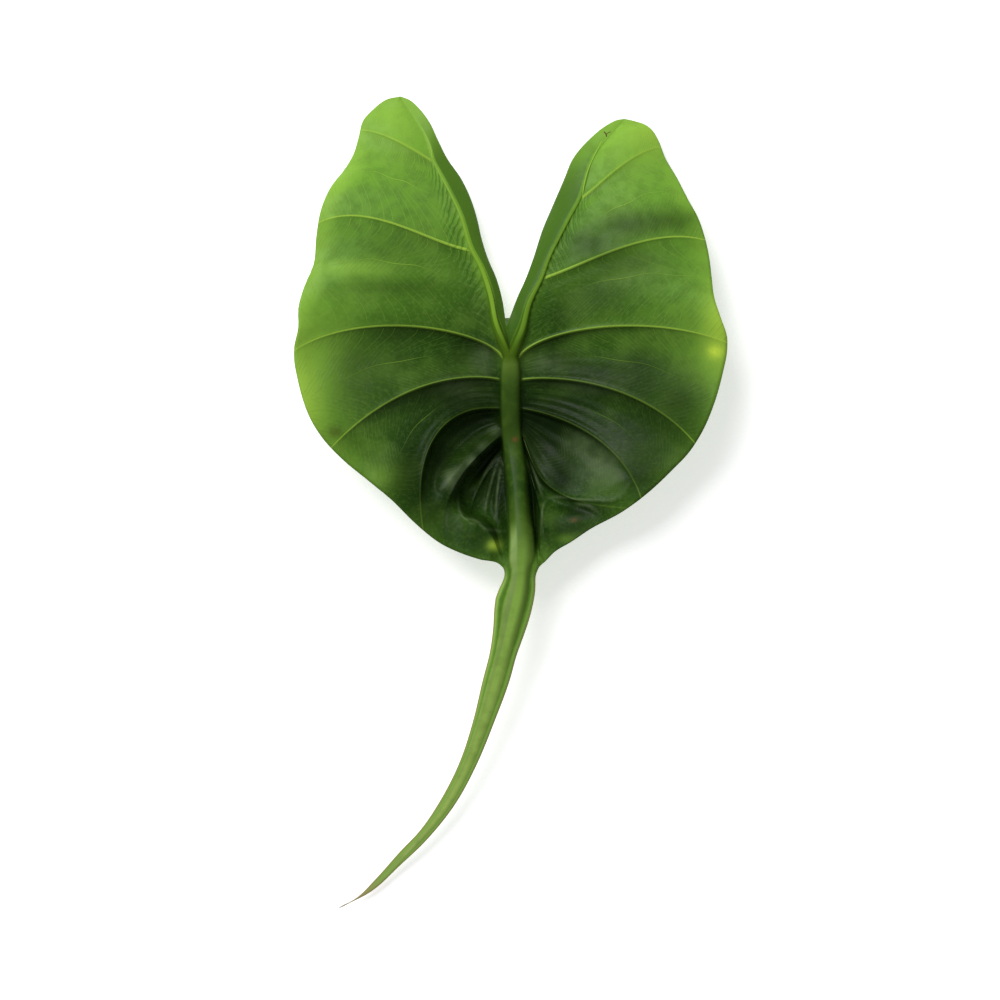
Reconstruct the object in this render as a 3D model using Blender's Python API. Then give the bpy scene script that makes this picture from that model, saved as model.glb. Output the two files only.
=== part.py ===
"""One picked leaf of alocasia stingray, lying face up on a flat surface.

A leaf grows as one piece, so it is one solid: a blade with two back lobes, a deep cup round the
midrib at the front, the long tail that the midrib runs out into, and the cut stub of the stalk.

Frame, in metres when built: the origin is on the surface, under the middle of the leaf's box, and
33 mm in front of the flat spot where the midrib rests. +Z is up, +Y runs back to the lobe tips and
-Y forward to the tail's tip.
"""

from collections import namedtuple

import bpy
import numpy as np

MM = 0.001  # every length below is in millimetres

# Thicknesses and widths that drive the leaf's section
BLADE_THICKNESS = 0.8
MARGIN_THICKNESS = 0.65
VEIN_DEPTH = 1.3  # how far a side vein stands out below the blade at its root
VEIN_HEIGHT = 0.6  # and above it
REST_HEIGHT = 0.0  # nothing hangs lower, and the midrib is flat where it would

# The cut stub of the stalk, below the point where the main veins meet
STALK_DIAMETER = 8.4
STALK_PATH = [(0, 60, 13.5), (0, 68, 14), (-0.8, 77, 10.5), (-1.5, 83.5, 5.2)]
STALK_SIDES = 20
STALK_RINGS = 9
STALK_TAPER = 0.06  # how much thinner it is at the blade than where it is cut

# Waves of the blade
WAVE_HEIGHT = 1.5  # of the margin, up and down
WAVE_COUNT = 9.0  # along one side, from lobe tip to tail
WAVE_LAG_RIGHT = 1.1  # the right side's waves come this much later, in radians
FALLS_REACH = (1.0, 1.0, 1.0, 1.0, 1.0, 0.85, 0.7, 0.66, 0.5, 0.5, 1.0, 1.0)  # share of the way out
PLEAT_HEIGHT = 0.6  # of the fine pleats beside the midrib in the cup
PLEATS = 5.0  # between one side vein and the next
CUP_STATION, CUP_STATIONS = 5.2, 1.3  # the side vein about which the pleats lie, and their reach

# The pucker, a broad ridge from the midrib's lowest point out into the left of the cup: x, y
PUCKER = [(-4, 33), (-15, 23.5), (-27, 15.5), (-33, 6)]
PUCKER_HEIGHT, PUCKER_HALF_WIDTH = 5.0, 5.0

# How the surface is cut into facets
CREST_STEPS = (0.0, 0.08, 0.2, 0.36, 0.56, 0.78)  # rows after each side vein, as shares of the gap
TAIL_STEPS = tuple(np.arange(9) / 9)
CROWN_STEPS = (0.0, 0.45, 0.8)  # columns over the crown of a main vein, as shares of its half width
COLUMNS_PER_SPAN = 3
INNER_COLUMNS = 3
CURVE_POINTS = 49
BESIDE = 0.3  # a main vein's direction is taken from this many stations before to as many after
MOST_CROWN = 0.62  # a crown takes no more than this share of the way to the margin

# The stations of a half leaf. A whole number is a side vein, and the rows between are blended.
AT_TIP, AT_JUNCTION, AT_TAIL, AT_END = 0, 3, 9, 11

# Half width of the main vein's crown and its depth below the crown, at each station
CROWN_HALF_WIDTH = (0.5, 1.0, 1.7, 4.5, 4.7, 4.7, 4.7, 5.2, 5.6, 6.2, 3.5, 0.3)
KEEL_DEPTH = (0.7, 2.0, 4.0, 8.4, 9.0, 9.6, 10.6, 9.8, 8.4, 7.0, 3.7, 0.6)
CROWN_ROUNDNESS, KEEL_ROUNDNESS = 2.8, 2.6  # 2 is a half circle, and more is squarer

# How far the blade falls behind each side vein's crest before it climbs to the next one
STEP_LEFT = (0.0, 0.9, 1.3, 2.4, 3.4, 8.5, 8.0, 2.0, 0.5, 0.0, 0.0, 0.0)
STEP_RIGHT = (0.0, 0.9, 1.3, 2.4, 3.2, 4.2, 5.6, 2.8, 0.5, 0.0, 0.0, 0.0)

# Main veins, from a lobe's tip to the junction, and from there to the tail's tip: x, y, height
LEFT_VEIN = [
    (-51.5, 190, 0.7), (-42, 175.5, 4), (-38, 167, 7), (-36, 159.5, 9.5), (-33, 153.5, 11.5),
    (-28.5, 145, 14.5), (-23.5, 134.5, 17.5), (-18, 117.5, 20.5), (-14, 110, 21.5),
    (-9, 96, 23.2), (-6, 82, 24), (-2.5, 74, 23.5), (0, 68.5, 22.5),
]
RIGHT_VEIN = [
    (53.5, 179.5, 0.7), (47.5, 173, 3.5), (42.5, 167, 5.5), (38, 160, 8.2), (34.5, 148.5, 11.5),
    (32.5, 142, 13), (28, 133.5, 16), (23, 124, 18.5), (18, 114, 20.5), (14.5, 104.5, 22),
    (8.5, 92.5, 23.5), (4.5, 79, 24), (2.2, 74, 23.5), (0, 68.5, 22.5),
]
MIDRIB = [
    (0, 68.5, 22.5), (0, 57, 19), (0, 44, 13.5), (0.5, 32, 9), (1.5, 23.5, 9.8), (3, 10.5, 15),
    (4, -3.5, 21), (5, -15, 25.5), (5, -27.5, 28), (4, -39.5, 27.8), (1, -52.5, 26.5),
    (-2.5, -66.5, 24.8), (-7, -82.5, 22.5), (-13.5, -103.5, 18.5), (-22, -125.5, 13.8),
    (-30.5, -141, 10.5), (-46, -160, 7), (-66, -181, 3.6), (-81, -189.5, 2.4),
]

# The leaf's outline seen from above: x, y
LEFT_MARGIN = [
    (-51.5, 190), (-58, 188.5), (-64.5, 183.5), (-68.5, 179), (-71, 170), (-73, 163),
    (-77, 155.5), (-83.5, 146.5), (-87.5, 137), (-90, 123), (-91, 111), (-95.5, 99.5), (-98, 90),
    (-98, 81), (-100, 71.5), (-100, 66), (-98.5, 57.5), (-96, 48), (-92.5, 39), (-86.5, 29.5),
    (-77.5, 20), (-66, 10.5), (-55, 1.5), (-45.5, -8), (-40, -13), (-33.5, -18), (-23.5, -23),
    (-14.5, -26), (-5, -28.5), (-3.2, -30.5), (-2.8, -33), (-4, -37), (-6.3, -41.5), (-7.5, -48.5),
    (-8, -57), (-9.5, -68.5), (-13, -82.5), (-17.5, -101.5), (-23.5, -120), (-33, -139),
    (-42.5, -153), (-51, -162), (-63, -175.5), (-71.5, -184), (-81, -189.5),
]
RIGHT_MARGIN = [
    (53.5, 179.5), (59, 178), (63, 176.5), (66, 174), (69, 169), (72, 161), (77.5, 151),
    (82, 141.5), (87, 132), (90, 123), (92, 113.5), (93, 104), (94, 95), (97, 85.5), (100, 76),
    (100, 70.5), (98, 60), (94, 46), (88.5, 33), (82.5, 23.5), (74.5, 15), (65, 6), (51, -4.5),
    (37, -12), (28, -18), (20.5, -22.5), (16, -27), (13, -30), (11.7, -33.5), (11.5, -39.5),
    (9, -52.5), (5.7, -62.5), (3, -70), (-0.5, -82.5), (-7.5, -101.5), (-15, -120), (-25, -139),
    (-40, -158), (-51.5, -169), (-64.5, -181), (-81, -189.5),
]
LEFT_NOTCH = [
    (-51.5, 190), (-47.5, 188.5), (-42, 183.5), (-38, 178), (-34, 169.5), (-29.5, 160.5),
    (-23, 151), (-18.5, 141.5), (-15.5, 132), (-13.5, 123), (-10.5, 113.5), (-6.5, 104), (-4, 95),
    (-2, 82),
]
RIGHT_NOTCH = [
    (53.5, 179.5), (50, 179), (45, 176.5), (36.5, 169.5), (29, 160.5), (25, 151), (19, 137),
    (15, 127.5), (10.5, 113.5), (7, 104), (3, 95), (0, 87), (-2, 82),
]
NOTCH_HEIGHTS = (0.7, 7.0, 16.5, 20.0)  # of that margin, at the tip, the first veins and junction
NOTCH_BEND = 1.5  # how late the strip beside the notch turns down

# A side vein. It leaves the main vein at root and ends on the margin at tip, as a curve that sets
# off towards leave and comes in from arrive. Heights of the blade's upper face along it are bed,
# beside the main vein, then three (share of the way out, height), then margin.
Rib = namedtuple("Rib", "root leave arrive tip bed near middle far margin")

LEFT_RIBS = [
    Rib((-51.5, 190), None, None, (-51.5, 190), 0.7, (0.3, 0.7), (0.55, 0.7), (0.8, 0.7), 0.7),
    Rib((-36, 159.5), (-46, 165), (-60, 174), (-70, 174),
        9.3, (0.3, 9.8), (0.55, 9.0), (0.8, 6.5), 4.0),
    Rib((-18, 117.5), (-38, 120), (-66, 141), (-88.8, 129.5),
        20, (0.25, 22), (0.5, 23.5), (0.78, 23.5), 22.5),
    Rib((0, 68.5), (-14, 82), (-70, 90), (-99, 70.5),
        19, (0.2, 20.5), (0.45, 25), (0.75, 28.5), 30),
    Rib((0, 57), (-26, 61.5), (-58, 53), (-83, 25.5),
        15.5, (0.2, 17), (0.45, 22.5), (0.75, 27), 29),
    Rib((0, 44), (-34, 47), (-46, 22), (-40.5, -12.5),
        10.5, (0.28, 17.5), (0.5, 22.5), (0.75, 25), 26.5),
    Rib((0.5, 32), (-14, 24), (-37, 4), (-29.5, -20),
        6, (0.3, 12), (0.5, 16), (0.68, 20.5), 25),
    Rib((2.2, 17.5), (-8, 23), (-21, 3), (-21.5, -23.7),
        4.5, (0.35, 4.5), (0.57, 7), (0.69, 24.3), 25),
    Rib((4, -3), (-3, -2), (-10, -14), (-11, -27),
        9.5, (0.25, 8), (0.4, 10.5), (0.56, 25), 26),
    Rib((5, -28), (-1.1, -28.8), (-2.1, -29.6), (-3.2, -30.5),
        26.5, (0.3, 26.5), (0.55, 26.5), (0.8, 26), 25.5),
    Rib((-15.5, -109), None, None, (-20, -109),
        16.5, (0.3, 16.5), (0.55, 16.4), (0.8, 16.2), 16),
    Rib((-81, -189.5), None, None, (-81, -189.5), 2.4, (0.3, 2.4), (0.55, 2.4), (0.8, 2.4), 2.4),
]
RIGHT_RIBS = [
    Rib((53.5, 179.5), None, None, (53.5, 179.5), 0.7, (0.3, 0.7), (0.55, 0.7), (0.8, 0.7), 0.7),
    Rib((32.5, 142), (42, 148), (56, 164), (70, 166),
        12, (0.3, 12.5), (0.55, 11.5), (0.8, 9.5), 7),
    Rib((14.5, 104.5), (36, 110.5), (64, 129), (90.3, 122),
        20.5, (0.25, 22.5), (0.5, 24.5), (0.78, 24.5), 23),
    Rib((0, 68.5), (14, 82), (66, 88), (99.8, 74),
        19, (0.2, 20), (0.45, 24.5), (0.75, 28.5), 30.5),
    Rib((0, 57), (30, 60), (66, 52), (85.5, 27.5),
        15.5, (0.2, 17), (0.45, 22), (0.75, 26.5), 29),
    Rib((0, 44), (26, 41), (52, 28), (60.5, 2),
        9.5, (0.25, 13), (0.5, 19), (0.75, 24), 26),
    Rib((0.5, 32), (12, 18), (9, 0), (54, -2),
        5.5, (0.35, 9.5), (0.55, 17), (0.75, 22), 25),
    Rib((2.2, 17.5), (12, 11), (14, -12), (20.5, -22.5),
        5.5, (0.35, 10), (0.55, 17), (0.75, 24), 25),
    Rib((4, -3), (10.5, -7), (12, -18), (16.5, -26.5),
        9.5, (0.3, 10), (0.5, 15), (0.75, 25), 25.5),
    Rib((5, -28), (11.2, -28.8), (12.1, -29.4), (13, -30),
        26.5, (0.3, 26.5), (0.55, 26.5), (0.8, 26), 25.5),
    Rib((-15.5, -109), None, None, (-10, -109),
        16.5, (0.3, 16.5), (0.55, 16.4), (0.8, 16.2), 16),
    Rib((-81, -189.5), None, None, (-81, -189.5), 2.4, (0.3, 2.4), (0.55, 2.4), (0.8, 2.4), 2.4),
]


def through(places, values, wanted, level=False):
    """Smooth values at the wanted places, through those given. With level, it never overshoots."""
    places = np.asarray(places, float)
    values = np.asarray(values, float)
    flat = values.ndim == 1
    values = values.reshape(len(places), -1)
    gaps = np.diff(places)[:, None]
    slopes = np.diff(values, axis=0) / gaps
    before, after = slopes[:-1], slopes[1:]
    inner = (before * gaps[1:] + after * gaps[:-1]) / (gaps[:-1] + gaps[1:])
    if level:
        limit = 2.0 * np.minimum(np.abs(before), np.abs(after))
        inner = np.clip(inner, -limit, limit) * (before * after > 0)
    tangents = np.vstack([slopes[:1], inner, slopes[-1:]])
    wanted = np.clip(np.asarray(wanted, float), places[0], places[-1])
    left = np.clip(np.searchsorted(places, wanted, side="right") - 1, 0, len(places) - 2)
    gap = gaps[left]
    f = ((wanted - places[left])[..., None]) / gap
    found = (
        values[left] * (1 + 2 * f) * (1 - f) ** 2
        + tangents[left] * gap * f * (1 - f) ** 2
        + values[left + 1] * f**2 * (3 - 2 * f)
        + tangents[left + 1] * gap * f**2 * (f - 1)
    )
    return found[..., 0] if flat else found


class Path:
    """A smooth curve through points, read by its share of length seen from above."""

    def __init__(self, points, samples_per_gap=24):
        points = np.array(points, float)
        steps = np.linalg.norm(np.diff(points[:, :2], axis=0), axis=1)
        along = np.concatenate([[0.0], np.cumsum(steps)])
        fine = np.linspace(0.0, along[-1], samples_per_gap * len(steps) + 1)
        self.points = through(along, points, fine)
        lengths = np.linalg.norm(np.diff(self.points[:, :2], axis=0), axis=1)
        self.share = np.concatenate([[0.0], np.cumsum(lengths)]) / lengths.sum()
        self.length = lengths.sum()

    def at(self, share):
        columns = [np.interp(share, self.share, column) for column in self.points.T]
        return np.stack(columns, axis=-1)

    def share_near(self, point):
        """The share of the way along where the curve passes nearest to a point."""
        away = np.linalg.norm(self.points[:, :2] - np.array(point, float), axis=1)
        return self.share[away.argmin()]


def roundness(over_crown, power):
    """A round profile: 1 on the middle of a crown and 0 from its edge on."""
    inside = np.clip(over_crown, 0.0, 1.0)
    return np.clip(1.0 - inside**power, 0.0, 1.0) ** 0.5


def pucker(xy):
    """The pucker's height at points seen from above."""
    ridge = Path(PUCKER).points
    away = np.linalg.norm(xy[:, None] - ridge[None], axis=2).min(axis=1)
    return PUCKER_HEIGHT * np.exp(-((away / PUCKER_HALF_WIDTH) ** 2))


class HalfLeaf:
    """The left or right half: rows of points from the main vein to the margin and to the notch."""

    def __init__(self, ribs, vein, margin, notch, steps, lag):
        self.ribs, self.steps, self.lag = ribs, steps, lag
        self.vein, self.midrib = Path(vein), Path(MIDRIB)
        self.margin, self.notch = Path(margin), Path(notch)
        self.stations = np.arange(len(ribs))
        self.upper = self._ends([self.vein.share_near(r.root) for r in ribs[: AT_JUNCTION + 1]])
        self.lower = self._ends([self.midrib.share_near(r.root) for r in ribs[AT_JUNCTION:]])
        self.tips = self._ends([self.margin.share_near(r.tip) for r in ribs])
        beside = [self.notch.share_near(r.root) for r in ribs[: AT_JUNCTION + 1]]
        self.notch_shares = self._ends(beside)
        self.leaving = [self._handle(r.root, r.leave, r.tip) for r in ribs]
        self.arriving = [self._handle(r.tip, r.arrive, r.root) for r in ribs]
        self.shares = [(r.near[0], r.middle[0], r.far[0]) for r in ribs]
        self.heights = [
            np.array((r.bed, r.near[1], r.middle[1], r.far[1], r.margin)) - self.crown(i)[2]
            for i, r in enumerate(ribs)
        ]

    @staticmethod
    def _ends(shares):
        return [0.0, *shares[1:-1], 1.0]

    @staticmethod
    def _handle(end, handle, other_end):
        """A curve's handle measured from its end. A rib with none is straight."""
        end, other_end = np.array(end, float), np.array(other_end, float)
        return (other_end - end) / 3 if handle is None else np.array(handle, float) - end

    def crown(self, station):
        """The point on top of the main vein."""
        if station <= AT_JUNCTION:
            share = through(self.stations[: AT_JUNCTION + 1], self.upper, station, level=True)
            return self.vein.at(share)
        share = through(self.stations[AT_JUNCTION:], self.lower, station, level=True)
        return self.midrib.at(share)

    def edge(self, station):
        """The point on the margin. Along the tail it is the one nearest to the crown."""
        if AT_TAIL < station < AT_END:
            return self.margin.at(self.margin.share_near(self.crown(station)[:2]))
        return self.margin.at(through(self.stations, self.tips, station, level=True))

    def across_vein(self, station):
        """The direction seen from above, square to the main vein and out over this half."""
        before, after = max(station - BESIDE, AT_TIP), min(station + BESIDE, AT_END)
        along = self.crown(after)[:2] - self.crown(before)[:2]
        square = np.array([along[1], -along[0]]) / np.linalg.norm(along)
        outward = self.edge(station) - self.crown(station)[:2]
        return square * np.sign(square @ outward)

    def curve(self, station):
        """Points seen from above along the rib at a station, and their distances from its root.

        It crosses the main vein's crown squarely and bends from the crown's edge on."""
        root, end = self.crown(station)[:2], self.edge(station)
        width = self.half_width(station, np.linalg.norm(end - root))
        start = root + self.across_vein(station) * width
        leave = root + self.level(self.leaving, station)
        arrive = end + self.level(self.arriving, station)
        if station > AT_TAIL:
            start, leave, arrive = root, root + (end - root) / 3, end + (root - end) / 3
        t = np.linspace(0.0, 1.0, CURVE_POINTS)[:, None]
        points = (
            start * (1 - t) ** 3
            + 3 * leave * t * (1 - t) ** 2
            + 3 * arrive * t**2 * (1 - t)
            + end * t**3
        )
        points = np.vstack([root, points])
        steps = np.linalg.norm(np.diff(points, axis=0), axis=1)
        return points, np.concatenate([[0.0], np.cumsum(steps)])

    @staticmethod
    def on_vein(station):
        return station == round(station) and AT_TIP < station < AT_TAIL

    def level(self, values, station):
        return through(self.stations, values, station, level=True)

    def half_width(self, station, length):
        return min(self.level(CROWN_HALF_WIDTH, station), MOST_CROWN * length)

    def across(self, station, length, out):
        """Distances from the main vein's middle at shares out of the way beyond its crown."""
        width = self.half_width(station, length)
        over = np.array(CROWN_STEPS) * width
        return np.concatenate([over, width + out * (length - width)]), max(width, 1e-6)

    def outer_row(self, station):
        """Points from the crown out to the margin, and the leaf's two depths at each."""
        points, away = self.curve(station)
        knots = np.concatenate([[0.0], through(self.stations, self.shares, station), [1.0]])
        spans = [
            np.linspace(a, b, COLUMNS_PER_SPAN, endpoint=False) for a, b in zip(knots, knots[1:])
        ]
        out = np.concatenate([*spans, [1.0]])
        distance, width = self.across(station, max(away[-1], 1e-6), out)
        beyond = np.concatenate([np.zeros(len(CROWN_STEPS)), out])
        xy = np.stack([np.interp(distance, away, column) for column in points.T], axis=-1)
        heights = self.level(self.heights, station)
        height = self.crown(station)[2] + through(knots, heights, beyond, level=True)
        height -= heights[0] * roundness(distance / width, CROWN_ROUNDNESS)
        height += self.relief(station, beyond) + pucker(xy) * (beyond > 0.0)
        return np.column_stack([xy, height]), self.depths(station, beyond, distance / width)

    def inner_row(self, station):
        """Points from the crown to the notch's margin, and the leaf's two depths at each."""
        crown, bed = self.crown(station), self.level(self.heights, station)[0]
        places = np.arange(AT_JUNCTION + 1)
        end = self.notch.at(through(places, self.notch_shares, station, level=True))
        length = max(np.linalg.norm(end - crown[:2]), 1e-6)
        out = np.linspace(0.0, 1.0, INNER_COLUMNS + 1)
        distance, width = self.across(station, length, out)
        beyond = np.concatenate([np.zeros(len(CROWN_STEPS)), out])
        xy = crown[:2] + (end - crown[:2]) * (distance / length)[:, None]
        edge = through(places, NOTCH_HEIGHTS, station, level=True) - crown[2]
        height = crown[2] + bed + (edge - bed) * beyond**NOTCH_BEND
        height -= bed * roundness(distance / width, CROWN_ROUNDNESS)
        return np.column_stack([xy, height]), self.depths(station, beyond, distance / width)

    def relief(self, station, beyond):
        """The falls behind the side veins, the fine pleats of the cup and the margin's waves."""
        vein = int(min(station, AT_END - 1))
        gap = station - vein
        drop = self.steps[vein] * (1 - gap) + self.steps[vein + 1] * gap
        reach = self.level(FALLS_REACH, station)
        body = np.sin(np.pi * np.clip(beyond / reach, 0.0, 1.0) ** 0.7) ** 0.8
        falls = -drop * np.sin(np.pi * gap**0.5) * body
        in_cup = np.exp(-(((station - CUP_STATION) / CUP_STATIONS) ** 2))
        pleats = PLEAT_HEIGHT * in_cup * np.cos(2 * np.pi * PLEATS * gap) * body * (1 - beyond)
        share = self.level(self.tips, station)
        on_blade = np.clip((AT_TAIL - station) / 1.5, 0.0, 1.0) * np.clip(station, 0.0, 1.0)
        waves = np.sin(2 * np.pi * WAVE_COUNT * share + self.lag) * beyond**3
        ridge = VEIN_HEIGHT * self.on_vein(station) * (beyond > 0.0) * (1.0 - beyond) ** 0.5
        return falls + pleats + ridge + WAVE_HEIGHT * on_blade * waves

    def depths(self, station, beyond, over_crown):
        """The blade's thickness, and how far the veins stand out below it."""
        blade = BLADE_THICKNESS + (MARGIN_THICKNESS - BLADE_THICKNESS) * beyond
        keel = self.level(KEEL_DEPTH, station) - BLADE_THICKNESS
        below = keel * roundness(over_crown, KEEL_ROUNDNESS)
        ridge = VEIN_DEPTH * (1.0 - beyond) ** 0.7 * (over_crown >= 1.0) * self.on_vein(station)
        return np.column_stack([blade, np.maximum(below, ridge)])


class Sheet:
    """The upper face as triangles, with points that meet made one."""

    def __init__(self):
        self.ids, self.points, self.depths, self.triangles = {}, [], [], []

    def point(self, place, depth):
        key = tuple(np.round(place, 3))
        if key not in self.ids:
            self.ids[key] = len(self.points)
            self.points.append(place)
            self.depths.append(depth)
        return self.ids[key]

    def rows(self, rows, turned):
        """Triangles between neighbouring rows. A row that shrinks to one point gives a fan."""
        ids = [[self.point(p, d) for p, d in zip(*row)] for row in rows]
        for near, far in zip(ids, ids[1:]):
            for a, b, c, d in zip(near, near[1:], far[1:], far):
                for triangle in ((a, b, c), (a, c, d)):
                    if len(set(triangle)) == 3:
                        self.triangles.append(triangle[::-1] if turned else triangle)


def stations_between(first, last, steps):
    return [i + f for i in range(first, last) for f in steps]


def upper_face():
    left = HalfLeaf(LEFT_RIBS, LEFT_VEIN, LEFT_MARGIN, LEFT_NOTCH, STEP_LEFT, 0.0)
    right = HalfLeaf(
        RIGHT_RIBS, RIGHT_VEIN, RIGHT_MARGIN, RIGHT_NOTCH, STEP_RIGHT, WAVE_LAG_RIGHT
    )
    blade = stations_between(AT_TIP, AT_TAIL, CREST_STEPS)
    tail = stations_between(AT_TAIL, AT_END, TAIL_STEPS)
    lobe = stations_between(AT_TIP, AT_JUNCTION, CREST_STEPS)
    sheet = Sheet()
    for half in (left, right):
        sheet.rows([half.outer_row(s) for s in blade + tail + [AT_END]], half is right)
        sheet.rows([half.inner_row(s) for s in lobe + [AT_JUNCTION]], half is left)
    return sheet


def corner_normals(points, triangles):
    """Each point's outward direction, from the triangles round it."""
    a, b, c = (points[triangles[:, k]] for k in range(3))
    faces = np.cross(b - a, c - a)
    normals = np.zeros_like(points)
    for k in range(3):
        np.add.at(normals, triangles[:, k], faces)
    return normals / np.linalg.norm(normals, axis=1)[:, None]


def leaf_solid(sheet):
    """Vertices and triangles of the closed leaf: both faces, split alike, and the margin."""
    top = np.array(sheet.points)
    depths = np.array(sheet.depths)
    triangles = np.array(sheet.triangles)
    bottom = top - corner_normals(top, triangles) * depths[:, :1]
    bottom[:, 2] -= depths[:, 1]
    bottom[:, 2] = np.maximum(bottom[:, 2], REST_HEIGHT)
    edges = {}
    for triangle in triangles.tolist():
        for a, b in zip(triangle, triangle[1:] + triangle[:1]):
            edges[(a, b)] = True
    count = len(top)
    faces = [tuple(t) for t in triangles.tolist()]
    faces += [tuple(count + i for i in reversed(t)) for t in triangles.tolist()]
    for a, b in edges:
        if (b, a) not in edges:
            faces += [(b, a, count + a), (b, count + a, count + b)]
    return np.vstack([top, bottom]) * MM, faces


def stalk_solid():
    """The stub as rings round its path, closed at both ends and slightly wider where it is cut."""
    path = Path(STALK_PATH)
    shares = np.linspace(0.0, 1.0, STALK_RINGS)
    centres = path.at(shares)
    forward = np.gradient(centres, axis=0)
    forward /= np.linalg.norm(forward, axis=1)[:, None]
    turns = np.arange(STALK_SIDES) * 2 * np.pi / STALK_SIDES
    rings = []
    for share, centre, ahead in zip(shares, centres, forward):
        across = np.array([1.0, 0.0, 0.0])
        up = np.cross(across, ahead)
        up /= np.linalg.norm(up)
        radius = STALK_DIAMETER / 2 * (1.0 - STALK_TAPER * (1.0 - share))
        circle = np.outer(np.cos(turns), across) + np.outer(np.sin(turns), up)
        rings.append(centre + radius * circle)
    faces = []
    for ring in range(STALK_RINGS - 1):
        for side in range(STALK_SIDES):
            a = ring * STALK_SIDES + side
            b = ring * STALK_SIDES + (side + 1) % STALK_SIDES
            faces.append((a, b, b + STALK_SIDES, a + STALK_SIDES))
    last = (STALK_RINGS - 1) * STALK_SIDES
    faces.append(tuple(range(STALK_SIDES))[::-1])
    faces.append(tuple(range(last, last + STALK_SIDES)))
    return np.vstack(rings) * MM, faces


def add_object(name, points, faces):
    mesh = bpy.data.meshes.new(name)
    mesh.from_pydata([tuple(p) for p in points], [], faces)
    mesh.validate()
    obj = bpy.data.objects.new(name, mesh)
    bpy.context.scene.collection.objects.link(obj)
    return obj


def leaf_material():
    material = bpy.data.materials.new("leaf")
    material.use_nodes = True
    shader = material.node_tree.nodes["Principled BSDF"]
    shader.inputs["Base Color"].default_value = (0.11, 0.24, 0.04, 1.0)
    shader.inputs["Roughness"].default_value = 0.42
    shader.inputs["Metallic"].default_value = 0.0
    return material


def main():
    for obj in list(bpy.data.objects):
        bpy.data.objects.remove(obj)
    leaf = add_object("leaf", *leaf_solid(upper_face()))
    stub = add_object("stalk_stub", *stalk_solid())
    stub.hide_render = True
    stub.display_type = "WIRE"
    joined = leaf.modifiers.new("stalk", "BOOLEAN")
    joined.operation = "UNION"
    joined.object = stub
    leaf.data.materials.append(leaf_material())
    leaf.data.shade_smooth()


main()
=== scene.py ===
"""A picked leaf of alocasia stingray lying face up, fine enough to be looked at closely.

The order follows the leaf as it grew: main veins, outline, side veins, the blade between them with
its folds, the fine veins, the cut stalk, and then the surface it lies on, the light and the camera.
"""

from collections import namedtuple

import bpy
import numpy as np
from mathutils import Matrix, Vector, bvhtree, kdtree


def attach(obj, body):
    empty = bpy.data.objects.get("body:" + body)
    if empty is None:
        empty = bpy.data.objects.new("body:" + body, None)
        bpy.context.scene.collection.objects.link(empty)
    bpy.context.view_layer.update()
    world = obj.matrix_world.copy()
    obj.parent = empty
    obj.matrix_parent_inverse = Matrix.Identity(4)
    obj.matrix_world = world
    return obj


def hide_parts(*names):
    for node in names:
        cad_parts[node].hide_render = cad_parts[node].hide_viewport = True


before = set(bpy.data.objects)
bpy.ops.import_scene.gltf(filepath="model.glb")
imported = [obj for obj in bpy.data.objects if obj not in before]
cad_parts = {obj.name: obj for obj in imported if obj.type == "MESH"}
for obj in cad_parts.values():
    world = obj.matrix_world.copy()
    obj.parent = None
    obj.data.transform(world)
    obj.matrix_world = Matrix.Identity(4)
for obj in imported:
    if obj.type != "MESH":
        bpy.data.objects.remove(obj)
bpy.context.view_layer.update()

# The main veins. The midrib and the two basal veins are round, juicy ribs that grew as one with
# the blade and meet above the stalk. They are drawn as smooth curves through points read from the
# photograph, in millimetres: x, y and the height of the crown.
MM = 0.001
AT_TIP, AT_JUNCTION, AT_TAIL, AT_END = 0, 3, 9, 11  # stations of a half leaf, see the side veins


def through(places, values, wanted, level=False):
    """Smooth values at the wanted places, through those given. With level, it never overshoots."""
    places = np.asarray(places, float)
    values = np.asarray(values, float)
    flat = values.ndim == 1
    values = values.reshape(len(places), -1)
    gaps = np.diff(places)[:, None]
    slopes = np.diff(values, axis=0) / gaps
    before, after = slopes[:-1], slopes[1:]
    inner = (before * gaps[1:] + after * gaps[:-1]) / (gaps[:-1] + gaps[1:])
    if level:
        limit = 2.0 * np.minimum(np.abs(before), np.abs(after))
        inner = np.clip(inner, -limit, limit) * (before * after > 0)
    tangents = np.vstack([slopes[:1], inner, slopes[-1:]])
    wanted = np.clip(np.asarray(wanted, float), places[0], places[-1])
    left = np.clip(np.searchsorted(places, wanted, side="right") - 1, 0, len(places) - 2)
    gap = gaps[left]
    f = ((wanted - places[left])[..., None]) / gap
    found = (
        values[left] * (1 + 2 * f) * (1 - f) ** 2
        + tangents[left] * gap * f * (1 - f) ** 2
        + values[left + 1] * f**2 * (3 - 2 * f)
        + tangents[left + 1] * gap * f**2 * (f - 1)
    )
    return found[..., 0] if flat else found


class Path:
    """A smooth curve through points, read by its share of length seen from above."""

    def __init__(self, points, samples_per_gap=24):
        points = np.array(points, float)
        steps = np.linalg.norm(np.diff(points[:, :2], axis=0), axis=1)
        along = np.concatenate([[0.0], np.cumsum(steps)])
        fine = np.linspace(0.0, along[-1], samples_per_gap * len(steps) + 1)
        self.points = through(along, points, fine)
        lengths = np.linalg.norm(np.diff(self.points[:, :2], axis=0), axis=1)
        self.share = np.concatenate([[0.0], np.cumsum(lengths)]) / lengths.sum()

    def at(self, share):
        columns = [np.interp(share, self.share, column) for column in self.points.T]
        return np.stack(columns, axis=-1)

    def share_near(self, point):
        """The share of the way along where the curve passes nearest to a point."""
        away = np.linalg.norm(self.points[:, :2] - np.array(point, float), axis=1)
        return self.share[away.argmin()]


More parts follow.
